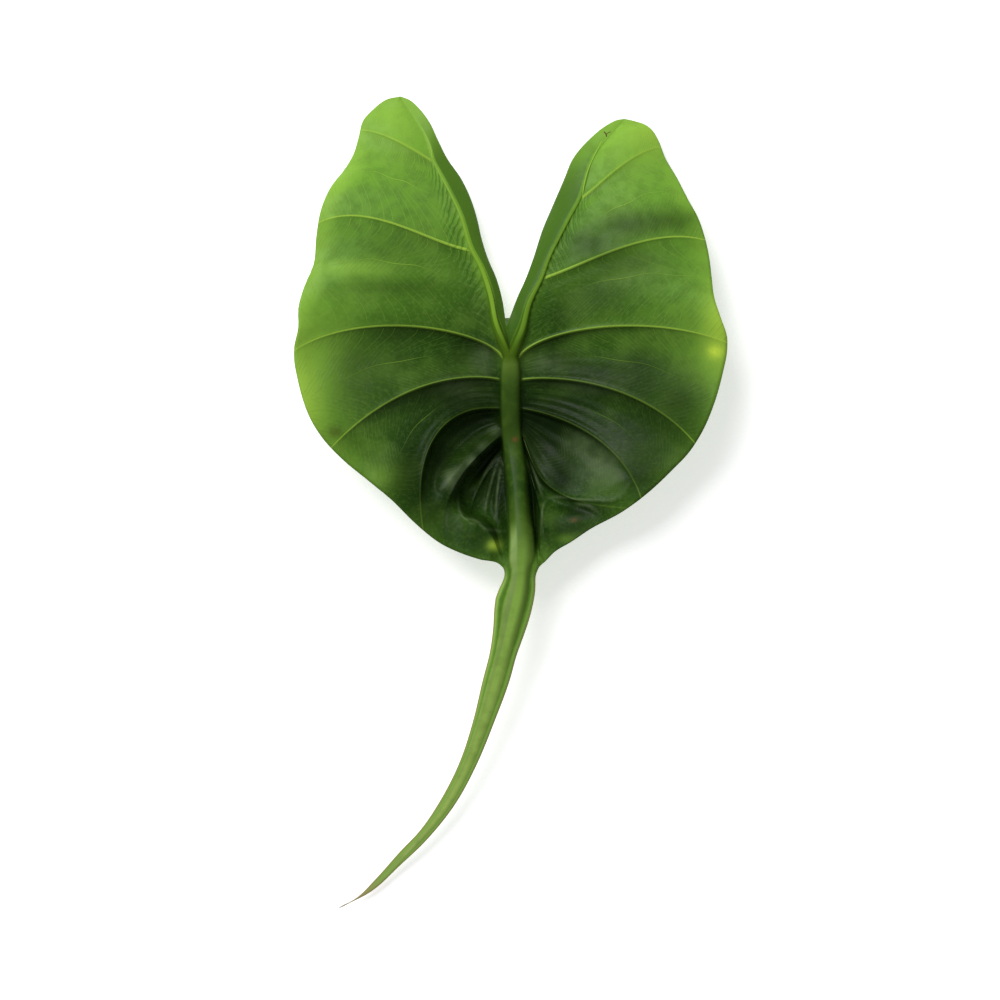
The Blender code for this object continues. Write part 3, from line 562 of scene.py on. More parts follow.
# What the colours follow. The leaf is yellow-green at the margin and in the lobes, partly its own
# colour and partly painted light shining through the thin blade, darker towards the cup with painted
# shade, and each vein is lighter than the blade. Tones that belong to one place are patches of x, y,
# two half widths and a strength. Each point of the mesh keeps these amounts.
PATCHES = {  # yellow flesh with painted light at the margin, painted shade, painted highlights, dried brown spots
    # the leaf's own yellow spots and bands, with painted light shining through the thin margin and
    # lobe tips
    "yellow": [
        (-54, 182, 24, 20, 0.9), (56, 172, 22, 17, 0.9), (94.5, 68.7, 9, 14, 0.8),
        (-78, 109, 22, 4, 0.75), (-93, 72, 15, 24, 0.5), (-93, 40, 12, 22, 0.65),
        (66, 172, 9, 10, 0.9), (91, 141, 7, 11, 0.7), (95.5, 86, 9, 14, 0.9),
        (-7.7, -19.6, 3.6, 3, 0.8), (26.4, -16.4, 5, 2.2, 0.6), (-60.5, 12.6, 10, 6, 0.5),
        (0, 70, 6, 7, 0.5),
    ],
    # bright yellow spots of its own, and painted light shining through the thin margin
    "bright": [
        (97, 82, 6, 15, 0.35), (-97, 45, 8, 22, 0.22), (67, 174, 9, 8, 0.15),
        (94.6, 70.1, 3.3, 2.6, 1.0), (-7.7, -19.6, 2.4, 2, 0.5),
    ],
    # painted shade in the deep cup, its creases and hollows, and below the side veins
    "dark": [
        (23, 67, 11, 8, 0.65), (-14, 86, 9, 9, 0.4), (23, 86, 11, 9, 0.45), (60, 67, 11, 7, 0.4),
        (79, 48, 10, 10, 0.5), (-70, 67, 10, 7, 0.4), (-51, 67, 10, 7, 0.35),
        (-5, 22, 34, 27, 0.95), (14, 36, 18, 10, 1.0), (-19, 47, 26, 15, 0.93),
        (-19, 70, 17, 8, 0.6), (37, 60, 26, 8, 0.5), (-4, 6, 5, 20, 1.0), (10.5, 6, 4, 18, 0.9),
        (32.5, -3.3, 11, 4, 0.9), (-37.6, 15.4, 15, 20, 0.6), (-54, 77.6, 15, 5, 0.5),
        (45, 30, 30, 24, 0.6), (-81, 32.7, 4, 2.5, 0.35), (-33, -3, 15, 14, 0.4),
        (-14, -17, 16, 9, 0.5), (28, -12.6, 22, 9, 0.6), (70, 35, 24, 26, 0.5),
        (16, 37, 11, 8, 1.0), (23, 15, 5, 10, 0.8), (18, 25, 8, 10, 0.8), (23, 45, 20, 8, 0.7),
        (36, 121, 12, 7, 0.6), (54, 129, 15, 7, 0.68), (74, 131, 13, 6, 0.6),
        (51, 58, 26, 10, 0.5), (-70, 56, 16, 12, 0.35), (-46, 15, 14, 22, 0.5),
        (24, 11, 6, 5, 0.8), (-33.5, 20, 4.5, 7, 0.75), (-58, 100, 26, 4, 0.4),
        (52, 112, 22, 9, 0.5), (40, 96, 20, 10, 0.45), (-58, 118, 24, 9, 0.3),
        (60, 12, 14, 9, 0.5),
    ],
    # painted highlights on the folds and slopes of the cup and the lobes
    "sheen": [
        (-12.4, 65.9, 5, 7, 0.7), (-27.6, 10.6, 3.4, 4.4, 1.0), (-7, 33, 2.4, 1.7, 0.6),
        (-12.9, 26, 2.6, 2.2, 0.6), (-18.3, 19.6, 2.8, 2.6, 0.65), (-23.6, 14.6, 3, 2.8, 0.7),
        (-26, 55, 9, 4, 0.5), (41, 18, 9, 10, 0.7), (31, 28, 6, 5, 0.45), (16, 64.5, 8, 5, 0.6),
        (37, 55, 14, 4, 0.4), (-51.6, 140, 25, 12, 0.15), (-66, 55, 20, 18, 0.2),
    ],
    "brown": [
        (2.2, 29.6, 1.3, 1.1, 1.0), (29.6, -7.7, 1.4, 0.8, 0.8), (-81, 32.7, 2.2, 1.6, 0.3),
    ],
}
CUP_CENTRE = np.array((0.0, 32.0))
CREST_SHEEN = 0.9
SHADED_STATIONS = 0.2  # how far behind a side vein the steep fall gets painted shade
SHADE, FULL_STEP = 0.65, 3.0  # the darkest it looks, where the fall is at least this deep
SHADE_FADE, SHADE_START = 0.6, 12  # how it goes out towards the margin and sets in at the vein


def patched(kind, xy):
    """How strongly the patches of one kind cover each point."""
    amount = np.zeros(len(xy))
    for x, y, wide, high, strength in PATCHES[kind]:
        away = ((xy[:, 0] - x) / wide) ** 2 + ((xy[:, 1] - y) / high) ** 2
        amount = 1 - (1 - amount) * (1 - strength * np.exp(-away))
    return amount


def behind_veins(point):
    """How much painted shade lies in the fall behind a side vein: deepest near the main vein, gone at
    the margin.
    """
    vein = min(int(point.station), AT_END - 1)
    share = np.clip(point.out, 0, 1)
    body = (point.out > 0) * np.exp(-(((point.station - vein) / SHADED_STATIONS) ** 2))
    deepest = SHADE * min(STEPS["left" if point.side < 0 else "right"][vein] / FULL_STEP, 1.0)
    return deepest * body * (1 - share) ** SHADE_FADE * min(share * SHADE_START, 1.0)


edges_of_leaf = (LEFT_MARGIN, RIGHT_MARGIN, LEFT_NOTCH, RIGHT_NOTCH)
margins = Near([(Path(line).points, 0) for line in edges_of_leaf])
from_margin = np.array([margins(p)[0] for p in top])
far_from_cup = np.linalg.norm(top[:, :2] - CUP_CENTRE, axis=1)
# Painted shade: the dark patches together with the falls behind the side veins.
falls = np.array([behind_veins(p) for p in points])
painted_shade_amount = 1 - (1 - patched("dark", top)) * (1 - falls)
# Painted highlight along the crests of thin folds, joined to the other painted highlights.
crests = [CREST_SHEEN * p.crest for p in points]
kept = {
    "grown": [(p.station, p.out, p.over) for p in points],
    "away": np.column_stack([from_margin, [(p.distance, p.strength) for p in points]]),
    "tones": np.column_stack(
        [painted_shade_amount, patched("yellow", top), np.maximum(patched("sheen", top), crests)]
    ),
    "marks": np.column_stack([patched("brown", top), patched("bright", top), far_from_cup]),
}
for name, values in kept.items():
    stored = leaf_mesh.attributes.new(name, "FLOAT_VECTOR", "POINT")
    stored.data.foreach_set("vector", np.vstack([values, values]).astype(np.float32).ravel())

# The upper skin. It is a waxy cuticle over green flesh: yellow-green where the leaf is thinnest,
# partly with painted light shining through it, nearly black-green in the cup with painted shade,
# with painted highlights on the folds, lighter veins and the finest ones just raised.
# The blade's green darkens towards the cup: painted shade of the deep cup.
CUP_SHADE_GREEN, BLADE_GREEN = (0.018, 0.062, 0.004), (0.123, 0.285, 0.027)
PALE_CLOUD, DARK_MOTTLE = (0.14, 0.28, 0.035), (0.03, 0.09, 0.006)
FINE_LINE = (0.16, 0.29, 0.05)
# The margin's yellow is partly painted light through the thin blade; the hollow tone is painted
# shade, the sheen a painted highlight.
MARGIN_YELLOW, PAINTED_HOLLOW_SHADE, SHEEN = (0.22, 0.42, 0.046), (0.004, 0.011, 0.002), (0.11, 0.16, 0.07)
WRINKLE_SHADE, SIDE_VEIN = (0.03, 0.1, 0.006), (0.28, 0.46, 0.05)
# The main vein's pale left side is painted light and its olive right side painted shade.
RIB_LIT_SIDE, RIB_SHADED_SIDE, RIB_MOTTLE = (0.2, 0.31, 0.08), (0.025, 0.05, 0.006), (0.09, 0.17, 0.02)
BASAL_LINE, BASAL_SHADE, NOTCH_STRIP = (0.17, 0.32, 0.022), (0.03, 0.08, 0.004), (0.038, 0.1, 0.008)
TAIL_EDGE, TAIL_GREEN, DRY_TIP = (0.26, 0.23, 0.06), (0.23, 0.41, 0.075), (0.36, 0.27, 0.13)
# The bright tone is the leaf's own yellow spots and painted light through the thin margin.
BRIGHT_SPOT_AND_MARGIN_GLOW, BROWN_SPOT = (0.5, 0.68, 0.06), (0.12, 0.065, 0.018)
MAIN_VEIN_TONES = [  # by station, from the lobes through the cup to the tail
    (0.0, (0.1, 0.22, 0.018)), (2.3, (0.07, 0.16, 0.01)), (3.0, (0.06, 0.12, 0.006)),
    (3.4, (0.1, 0.175, 0.024)), (4.2, (0.04, 0.09, 0.01)), (6.0, (0.035, 0.075, 0.008)),
    (7.6, (0.02, 0.055, 0.005)), (8.6, (0.07, 0.14, 0.015)), (9.3, (0.23, 0.4, 0.065)),
    (10.4, (0.34, 0.5, 0.11)), (11.0, (0.34, 0.36, 0.16)),
]
WAXY = 0.07  # how strongly the cuticle mirrors
LINES_OUT, LINES_SLANT, LINES_ALONG = 38.0, 17.0, 11  # of the finest veins, see fine_vein_group
WRINKLES_OUT, WRINKLES_ALONG = -26.0, 10.0  # to the margin, and between two side veins
Kept = namedtuple("Kept", "station out over margin vein strength dark yellow sheen brown bright far")


def new_material(name):
    material = bpy.data.materials.new(name)
    material.use_nodes = True
    return material, material.node_tree, material.node_tree.nodes["Principled BSDF"]


def node(tree, kind, inputs=None, **settings):
    made = tree.nodes.new(kind)
    for name, value in settings.items():
        setattr(made, name, value)
    for socket, value in (inputs or {}).items():
        if isinstance(value, bpy.types.NodeSocket):
            tree.links.new(value, made.inputs[socket])
        else:
            made.inputs[socket].default_value = value
    return made


def maths(tree, operation, a, b=0.0, c=0.0):
    return node(tree, "ShaderNodeMath", {0: a, 1: b, 2: c}, operation=operation).outputs[0]


def times(tree, product, *factors):
    for factor in factors:
        product = maths(tree, "MULTIPLY", product, factor)
    return product


def smooth(tree, value, start, end, low=0.0, high=1.0):
    """From low to high as the value goes from start to end."""
    sockets = {0: value, 1: start, 2: end, 3: low, 4: high}
    return node(tree, "ShaderNodeMapRange", sockets, interpolation_type="SMOOTHSTEP").outputs[0]


def mixed(tree, amount, a, b):
    a, b = ((*v, 1.0) if isinstance(v, tuple) else v for v in (a, b))
    return node(tree, "ShaderNodeMix", {0: amount, 6: a, 7: b}, data_type="RGBA").outputs[2]


def layered(tree, tone, *coats):
    """The tone under thin coats, each given as how much of it shows and its own tone."""
    for amount, coat in coats:
        tone = mixed(tree, amount, tone, coat)
    return tone


def noise(tree, place, scale, detail=3.0):
    sockets = {"Vector": place, "Scale": scale, "Detail": detail, "Roughness": 0.5}
    return node(tree, "ShaderNodeTexNoise", sockets).outputs[0]


def bumped(tree, shader, strength, distance, height):
    bumps = {"Strength": strength, "Distance": distance, "Height": height}
    tree.links.new(node(tree, "ShaderNodeBump", bumps).outputs[0], shader.inputs["Normal"])


def kept_values(tree):
    """What each point of the blade keeps, in the order in which it was stored."""
    sockets = []
    for name in kept:
        read = node(tree, "ShaderNodeAttribute", attribute_name=name)
        sockets += node(tree, "ShaderNodeSeparateXYZ", {0: read.outputs["Vector"]}).outputs
    return Kept(*sockets)


def fine_vein_group():
    """Lines of the third-order veins: they leave a side vein slantwise and run out with it."""
    group = bpy.data.node_groups.new("fine veins", "ShaderNodeTree")
    for name in ("Station", "Out", "Wander"):
        group.interface.new_socket(name, in_out="INPUT", socket_type="NodeSocketFloat")
    group.interface.new_socket("Lines", in_out="OUTPUT", socket_type="NodeSocketFloat")
    station, out, wander = group.nodes.new("NodeGroupInput").outputs[:3]
    gap = maths(group, "FRACT", station)
    part = maths(group, "ABSOLUTE", maths(group, "SUBTRACT", gap, 0.5))
    phase = maths(group, "MULTIPLY_ADD", out, LINES_OUT, times(group, part, LINES_SLANT))
    phase = maths(group, "MULTIPLY_ADD", wander, 1.4, phase)
    slanting = maths(group, "SINE", times(group, phase, 2 * np.pi))
    straight = maths(group, "MULTIPLY_ADD", wander, 0.12, gap)
    straight = maths(group, "SINE", times(group, straight, 2 * np.pi * LINES_ALONG))
    near = smooth(group, out, 0.3, 0.1)
    slanting = smooth(group, slanting, 0.55, 1.0)
    straight = smooth(group, straight, 0.45, 1.0)
    lines = node(group, "ShaderNodeMix", {0: near, 2: slanting, 3: straight}).outputs[0]
    off_tail = smooth(group, station, 9.0, 8.6)
    off_main_vein = smooth(group, out, 0.0, 0.04)
    last = group.nodes.new("NodeGroupOutput")
    on_blade = times(group, off_tail, off_main_vein)
    group.links.new(times(group, lines, on_blade), last.inputs[0])
    return group


FINE_VEINS = fine_vein_group()


def fine_lines(tree, at, wander):
    group = {"Station": at.station, "Out": at.out, "Wander": wander}
    return node(tree, "ShaderNodeGroup", group, node_tree=FINE_VEINS).outputs[0]


def wrinkles(tree, at, mottled):
    """The fine wrinkles that run slantwise beside the basal veins."""
    slant = maths(tree, "MULTIPLY_ADD", at.out, WRINKLES_OUT, times(tree, at.station, WRINKLES_ALONG))
    slant = maths(tree, "MULTIPLY_ADD", mottled, 1.2, slant)
    wave = smooth(tree, maths(tree, "SINE", times(tree, slant, 2 * np.pi)), -0.4, 0.9)
    near_vein = smooth(tree, at.out, 0.2, 0.03)
    off_vein = smooth(tree, at.out, 0.0, 0.012)
    in_lobe = times(tree, smooth(tree, at.station, 0.95, 1.2), smooth(tree, at.station, 3.0, 2.2))
    return times(tree, wave, near_vein, off_vein, in_lobe)


def yellow_margin(tree, at, place, broad):
    """How yellow it is, partly painted light through the thin blade: most in a wide band by the
    margin, less on the right and towards the neck.
    """
    band = smooth(tree, maths(tree, "MULTIPLY_ADD", broad, 12.0, at.margin), 18.0, 6.0, 0.0, 0.85)
    north = node(tree, "ShaderNodeSeparateXYZ", {0: place}).outputs[1]
    above_neck = smooth(tree, north, 0.0, 0.07, 0.2, 1.0)
    by_side = smooth(tree, at.over, -0.1, 0.1, 1.0, 0.5)
    off_painted_shade = smooth(tree, at.dark, 0.5, 0.1)
    return maths(tree, "MAXIMUM", times(tree, band, above_neck, by_side, off_painted_shade), at.yellow)


def blade_tone(tree, at, place, broad, mottled, lines, wrinkled):
    base = mixed(tree, smooth(tree, at.far, 40.0, 130.0), CUP_SHADE_GREEN, BLADE_GREEN)
    flecks = noise(tree, place, 620.0)
    shine = times(tree, at.sheen, smooth(tree, mottled, 0.25, 0.75, 0.4, 0.8))
    wide = maths(tree, "MULTIPLY_ADD", at.out, -0.5, 0.95)
    on_vein = smooth(tree, maths(tree, "DIVIDE", at.vein, wide), 1.0, 0.35)
    on_vein = times(tree, on_vein, at.strength, smooth(tree, at.dark, 0.1, 0.9, 0.95, 0.2))
    inner = smooth(tree, at.out, -0.02, -0.15, 0.0, 0.82)
    return layered(
        tree, base,
        (smooth(tree, broad, 0.42, 0.7, 0.0, 0.45), PALE_CLOUD),
        (smooth(tree, mottled, 0.35, 0.72, 0.0, 0.34), DARK_MOTTLE),
        (smooth(tree, flecks, 0.45, 0.7, 0.0, 0.2), FINE_LINE),
        (yellow_margin(tree, at, place, broad), MARGIN_YELLOW),
        (times(tree, at.dark, 0.95), PAINTED_HOLLOW_SHADE),
        (shine, SHEEN),
        (times(tree, lines, smooth(tree, broad, 0.35, 0.65, 0.05, 0.24)), FINE_LINE),
        (times(tree, wrinkled, 0.42), WRINKLE_SHADE),
        (on_vein, SIDE_VEIN),
        (times(tree, inner, smooth(tree, at.station, 0.2, 1.1)), NOTCH_STRIP),
    )


def main_vein_tone(tree, at, mottled):
    """By station, with painted light on its left side and painted shade, olive, on its right where it
    leaves the cup, and painted shade on the right basal vein.
    """
    ramp = node(tree, "ShaderNodeValToRGB", {0: maths(tree, "DIVIDE", at.station, float(AT_END))})
    tones = ramp.color_ramp.elements
    for index, (station, tone) in enumerate(MAIN_VEIN_TONES):
        stop = tones[index] if index < 2 else tones.new(station / AT_END)
        stop.position, stop.color = station / AT_END, (*tone, 1.0)
    neck = times(tree, smooth(tree, at.station, 7.4, 8.7), smooth(tree, at.station, 9.9, 9.2, 0.35))
    lit_side = times(tree, smooth(tree, at.over, -0.25, -0.45), smooth(tree, at.over, -1.0, -0.7))
    lit_side = times(tree, lit_side, smooth(tree, at.station, 8.2, 8.8))
    edge = smooth(tree, at.station, 2.0, 3.0, 1.1, 0.4)
    narrow = maths(tree, "DIVIDE", maths(tree, "ABSOLUTE", at.over), edge)
    thin = times(tree, smooth(tree, narrow, 1.0, 0.55), smooth(tree, at.station, 3.0, 2.6))
    lee = smooth(tree, at.over, -0.05, 0.05)
    lee = times(tree, lee, smooth(tree, at.station, 3.2, 2.8, 0.0, 0.4))
    return layered(
        tree, ramp.outputs[0],
        (times(tree, lit_side, neck), RIB_LIT_SIDE),
        (times(tree, smooth(tree, at.over, 0.1, 0.8, 0.0, 0.75), neck), RIB_SHADED_SIDE),
        (smooth(tree, mottled, 0.4, 0.75, 0.0, 0.3), RIB_MOTTLE),
        (thin, BASAL_LINE),
        (lee, BASAL_SHADE),
    )


def upper_material():
    material, tree, shader = new_material("leaf upper skin")
    at = kept_values(tree)
    place = node(tree, "ShaderNodeTexCoord").outputs["Object"]
    broad, mottled, grain = (noise(tree, place, scale) for scale in (45.0, 190.0, 1100.0))
    lines = times(
        tree, fine_lines(tree, at, broad),
        smooth(tree, at.dark, 0.0, 0.8, 1.0, 0.35), smooth(tree, mottled, 0.4, 0.6, 0.15, 1.0),
    )
    wrinkled = wrinkles(tree, at, mottled)
    blade = blade_tone(tree, at, place, broad, mottled, lines, wrinkled)
    on_crown = smooth(tree, maths(tree, "ABSOLUTE", at.over), 1.1, 0.75)
    on_crown = times(tree, on_crown, smooth(tree, at.station, 0.5, 1.1))
    tail = mixed(tree, smooth(tree, at.margin, 0.15, 0.8), TAIL_EDGE, TAIL_GREEN)
    wings = times(tree, smooth(tree, at.station, 8.9, 9.3), smooth(tree, at.margin, 2.6, 0.8))
    skin_tone = layered(
        tree, blade,
        (on_crown, main_vein_tone(tree, at, mottled)),
        (wings, tail),
        (smooth(tree, at.station, 10.72, 10.95), DRY_TIP),
        (at.bright, BRIGHT_SPOT_AND_MARGIN_GLOW),
        (at.brown, BROWN_SPOT),
    )
    tree.links.new(skin_tone, shader.inputs["Base Color"])
    shader.inputs["Specular IOR Level"].default_value = WAXY
    rough = maths(tree, "MULTIPLY_ADD", at.sheen, -0.06, smooth(tree, mottled, 0.3, 0.7, 0.3, 0.42))
    tree.links.new(rough, shader.inputs["Roughness"])
    height = maths(tree, "MULTIPLY_ADD", lines, 0.35, times(tree, mottled, 0.9))
    height = maths(tree, "MULTIPLY_ADD", grain, 0.25, height)
    height = maths(tree, "MULTIPLY_ADD", wrinkled, -1.6, height)
    bumped(tree, shader, 0.55, 0.00035, height)
    return material


# The underside and the cut margin. The same flesh under a thinner cuticle, duller and paler than
# the upper skin, with its veins and keels paler still.
UNDER_GREEN, UNDER_PALE = (0.14, 0.25, 0.07), (0.19, 0.31, 0.1)
UNDER_LINE, UNDER_VEIN = (0.1, 0.19, 0.05), (0.25, 0.37, 0.13)
DULL = 0.55  # roughness


def under_material():
    material, tree, shader = new_material("leaf underside")
    at = kept_values(tree)
    place = node(tree, "ShaderNodeTexCoord").outputs["Object"]
    broad, mottled = (noise(tree, place, scale) for scale in (45.0, 220.0))
    lines = fine_lines(tree, at, broad)
    on_keel = smooth(tree, maths(tree, "ABSOLUTE", at.over), 1.1, 0.85)
    on_vein = times(tree, smooth(tree, at.vein, 1.5, 0.6), at.strength)
    tone = layered(
        tree, mixed(tree, smooth(tree, mottled, 0.3, 0.7), UNDER_GREEN, UNDER_PALE),
        (times(tree, lines, 0.5), UNDER_LINE),
        (maths(tree, "MAXIMUM", on_vein, on_keel), UNDER_VEIN),
        (smooth(tree, at.station, 10.5, 10.9), DRY_TIP),
    )
    tree.links.new(tone, shader.inputs["Base Color"])
    shader.inputs["Roughness"].default_value = DULL
    bumped(tree, shader, 0.5, 0.0003, maths(tree, "ADD", lines, mottled))
    return material


leaf_mesh.materials.append(upper_material())
leaf_mesh.materials.append(under_material())
slots = np.ones(len(skin), np.int32)
slots[: len(triangles)] = 0
leaf_mesh.polygons.foreach_set("material_index", slots)
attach(leaf, "root")
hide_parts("leaf")

# The fine veins. Between two side veins a thin vein runs midway out to the margin, and finer ones
# reach it slantwise from both sides. They are raised threads of the same flesh, half sunk in it.
MIDWAY = {1: 0.5, 2: 0.4, 3: 0.5, 4: 0.5}  # where the vein between runs, by the gap's station
BETWEEN_SPAN, BETWEEN_POINTS = (0.22, 0.96), 40  # shares of the way out
BETWEEN_SWAY, BETWEEN_TURNS = 0.012, 23  # stations to each side, and radians on the way out
THREADS, THREAD_POINTS = 11, 14  # threads from each side vein into a gap
ROOTS_FROM, ROOTS_SPREAD = 0.04, 0.78  # where on the side vein they start, as shares of its length
REACH = 0.27  # share of the way out that a thread gains before it meets the vein between
THREAD_RADIUS, BETWEEN_RADIUS = 0.12, 0.36
FULL_LIGHT_RADIUS = 0.3  # a thread as thick as this is as light as a side vein
SUNK = 0.35  # share of the radius below the surface
HIGH_ABOVE = 100.0  # mm, where the rays start that find the skin below
SEED = 7
FORKS = [  # where a basal vein ends it forks, and the thin branch runs to the lobe's tip
    ([(33.4, 142.5), (34.4, 148.6), (35.7, 153.7), (38.1, 159.8), (40.7, 165), (42.5, 168.7)], 0.3),
    ([(-36.4, 160.5), (-37, 165), (-39.5, 171.3), (-41.8, 175.7)], 0.25),
]
SCARS = [  # dried brown nicks in the skin of the right lobe
    ([(43.6, 173.2), (44.3, 172.5), (44.7, 171.6), (44.8, 170.9)], 0.32),
    ([(44.6, 172), (45.7, 172.8), (46.8, 173.2)], 0.2),
]


def place_on(side, station, out):
    """The place on the upper skin at a station and a share of the way out."""
    rows = grids[side, "outer"]
    stations = [row[0].station for row in rows]
    at = min(max(int(np.searchsorted(stations, station)), 1), len(rows) - 1)
    ends = []
    for row in (rows[at - 1], rows[at]):
        shares = [p.out for p in row[len(CROWN_STEPS):]]
        places = np.array([p.place for p in row[len(CROWN_STEPS):]])
        ends.append(np.array([np.interp(out, shares, column) for column in places.T]))
    part = (station - stations[at - 1]) / (stations[at] - stations[at - 1])
    return ends[0] * (1 - part) + ends[1] * part


surface = bvhtree.BVHTree.FromPolygons(top.tolist(), skin[: len(triangles)])


def laid(line):
    """The line moved up or down onto the upper skin."""
    found = [surface.ray_cast((x, y, HIGH_ABOVE), (0, 0, -1))[0] for x, y in np.array(line)[:, :2]]
    return [np.array(hit if hit is not None else place) for hit, place in zip(found, line)]


scatter = np.random.default_rng(SEED)
thread_lines = [(laid(Path(line).points[::4]), radius) for line, radius in SCARS + FORKS]
for side in ("left", "right"):
    for gap, middle in MIDWAY.items():
        outs = np.linspace(*BETWEEN_SPAN, BETWEEN_POINTS)
        sway = BETWEEN_SWAY * np.sin(outs * BETWEEN_TURNS + gap)
        line = [place_on(side, gap + middle + w, o) for o, w in zip(outs, sway)]
        tapered = np.clip((outs - 0.2) / 0.3, 0.2, 1.0)
        thread_lines.append((laid(line), BETWEEN_RADIUS * (1.15 - outs) * tapered))
        for start, towards in ((0.03, middle - 0.02), (0.97, middle + 0.02)):
            for k in range(THREADS):
                t = np.linspace(0.0, 1.0, THREAD_POINTS)
                root = (k + 0.3 + 0.5 * scatter.random()) / THREADS * ROOTS_SPREAD + ROOTS_FROM
                reach = REACH * (0.8 + 0.4 * scatter.random())
                line = [
                    place_on(side, gap + start + (towards - start) * v**0.8, root + reach * v**1.5)
                    for v in t
                ]
                thread_lines.append((laid(line), THREAD_RADIUS * (1.0 - 0.55 * t)))

thread_points, thread_edges, thread_radius, thread_scar = [], [], [], []
for index, (line, radius) in enumerate(thread_lines):
    first = len(thread_points)
    radius = np.broadcast_to(radius, len(line)) * np.ones(len(line))
    thread_points += [(p[0], p[1], max(p[2] - SUNK * r, r)) for p, r in zip(line, radius)]
    thread_radius += list(radius)
    thread_scar += [float(index < len(SCARS))] * len(line)
    thread_edges += [(first + i, first + i + 1) for i in range(len(line) - 1)]
thread_points = np.array(thread_points)
thread_radius = np.array(thread_radius, np.float32)
thread_mesh = bpy.data.meshes.new("leaf_fine_veins")
thread_mesh.from_pydata((thread_points * MM).tolist(), thread_edges, [])
kept_on_threads = {
    "radius_here": thread_radius * MM,
    "light_here": np.clip(thread_radius / FULL_LIGHT_RADIUS, 0, 1),
    "far_here": np.linalg.norm(thread_points[:, :2] - CUP_CENTRE, axis=1),
    "scar_here": np.array(thread_scar),
    "painted_shade_here": patched("dark", thread_points),
}
for name, values in kept_on_threads.items():
    stored = thread_mesh.attributes.new(name, "FLOAT", "POINT")
    stored.data.foreach_set("value", values.astype(np.float32))
threads = put_in("leaf_fine_veins", thread_mesh)

# Threads darken towards the cup and in the hollows with the same painted shade as the blade.
THREAD_CUP_SHADE, THREAD_PALE, THREAD_LIT = (0.05, 0.13, 0.012), (0.2, 0.37, 0.045), (0.27, 0.46, 0.05)
THREAD_PAINTED_SHADE, SCAR_BROWN = (0.007, 0.019, 0.003), (0.09, 0.055, 0.02)
THREAD_ROUGHNESS = 0.5


def thread_material():
    material, tree, shader = new_material("fine vein")
    far, light, dark, scar = (
        node(tree, "ShaderNodeAttribute", attribute_name=name).outputs["Fac"]
        for name in ("far_here", "light_here", "painted_shade_here", "scar_here")
    )
    tone = layered(
        tree, mixed(tree, smooth(tree, far, 30.0, 120.0), THREAD_CUP_SHADE, THREAD_PALE),
        (smooth(tree, light, 0.4, 1.0), THREAD_LIT),
        (times(tree, dark, 0.95), THREAD_PAINTED_SHADE),
        (scar, SCAR_BROWN),
    )
    tree.links.new(tone, shader.inputs["Base Color"])
    shader.inputs["Roughness"].default_value = THREAD_ROUGHNESS
    shader.inputs["Specular IOR Level"].default_value = WAXY
    return material


def thread_nodes():
    """Turns the lines into round threads as thick as each point says."""
    group = bpy.data.node_groups.new("raised threads", "GeometryNodeTree")
    group.interface.new_socket("Geometry", in_out="INPUT", socket_type="NodeSocketGeometry")
    thick = group.interface.new_socket("Thickness", in_out="INPUT", socket_type="NodeSocketFloat")
    coat = group.interface.new_socket("Material", in_out="INPUT", socket_type="NodeSocketMaterial")
    group.interface.new_socket("Geometry", in_out="OUTPUT", socket_type="NodeSocketGeometry")
    given = group.nodes.new("NodeGroupInput").outputs
    lines = node(group, "GeometryNodeMeshToCurve", {0: given[0]}).outputs[0]
    wide = node(group, "GeometryNodeInputNamedAttribute", {0: "radius_here"}, data_type="FLOAT")
    wide = times(group, wide.outputs[0], given[1])
    ring = node(group, "GeometryNodeCurvePrimitiveCircle", {"Resolution": 6, "Radius": 1.0})
    sockets = {"Curve": lines, "Profile Curve": ring.outputs[0], "Scale": wide, "Fill Caps": True}
    tube = node(group, "GeometryNodeCurveToMesh", sockets).outputs[0]
    real = node(group, "GeometryNodeRealizeInstances", {0: tube}).outputs[0]
    painted = node(group, "GeometryNodeSetMaterial", {"Geometry": real, "Material": given[2]})
    last = group.nodes.new("NodeGroupOutput")
    group.links.new(painted.outputs[0], last.inputs[0])
    return group, thick.identifier, coat.identifier


group, thick, coat = thread_nodes()
grow = threads.modifiers.new("threads", "NODES")
grow.node_group = group
grow[thick] = 1.0
grow[coat] = thread_material()
bpy.context.view_layer.update()
seen = threads.evaluated_get(bpy.context.evaluated_depsgraph_get())
grown = bpy.data.meshes.new_from_object(seen)
threads.modifiers.remove(grow)
threads.data = grown
grown.name = "leaf_fine_veins"
grown.shade_smooth()
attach(threads, "root")
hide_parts("leaf")

# The stub of the stalk. The round, solid stalk was cut off below the leaf; its stub comes out of
# the underside where the main veins meet and points back under the notch, its cut end paler.
STALK_PATH = [(0, 60, 13.5), (0, 68, 14), (-0.8, 77, 10.5), (-1.5, 83.5, 5.2)]
STALK_RADIUS, STALK_TAPER = 4.2, 0.06
STALK_FLUTES, FLUTE_DEPTH = 9, 0.012
STALK_SIDES, STALK_RINGS = 40, 28
STALK_ROUGHNESS = 0.5

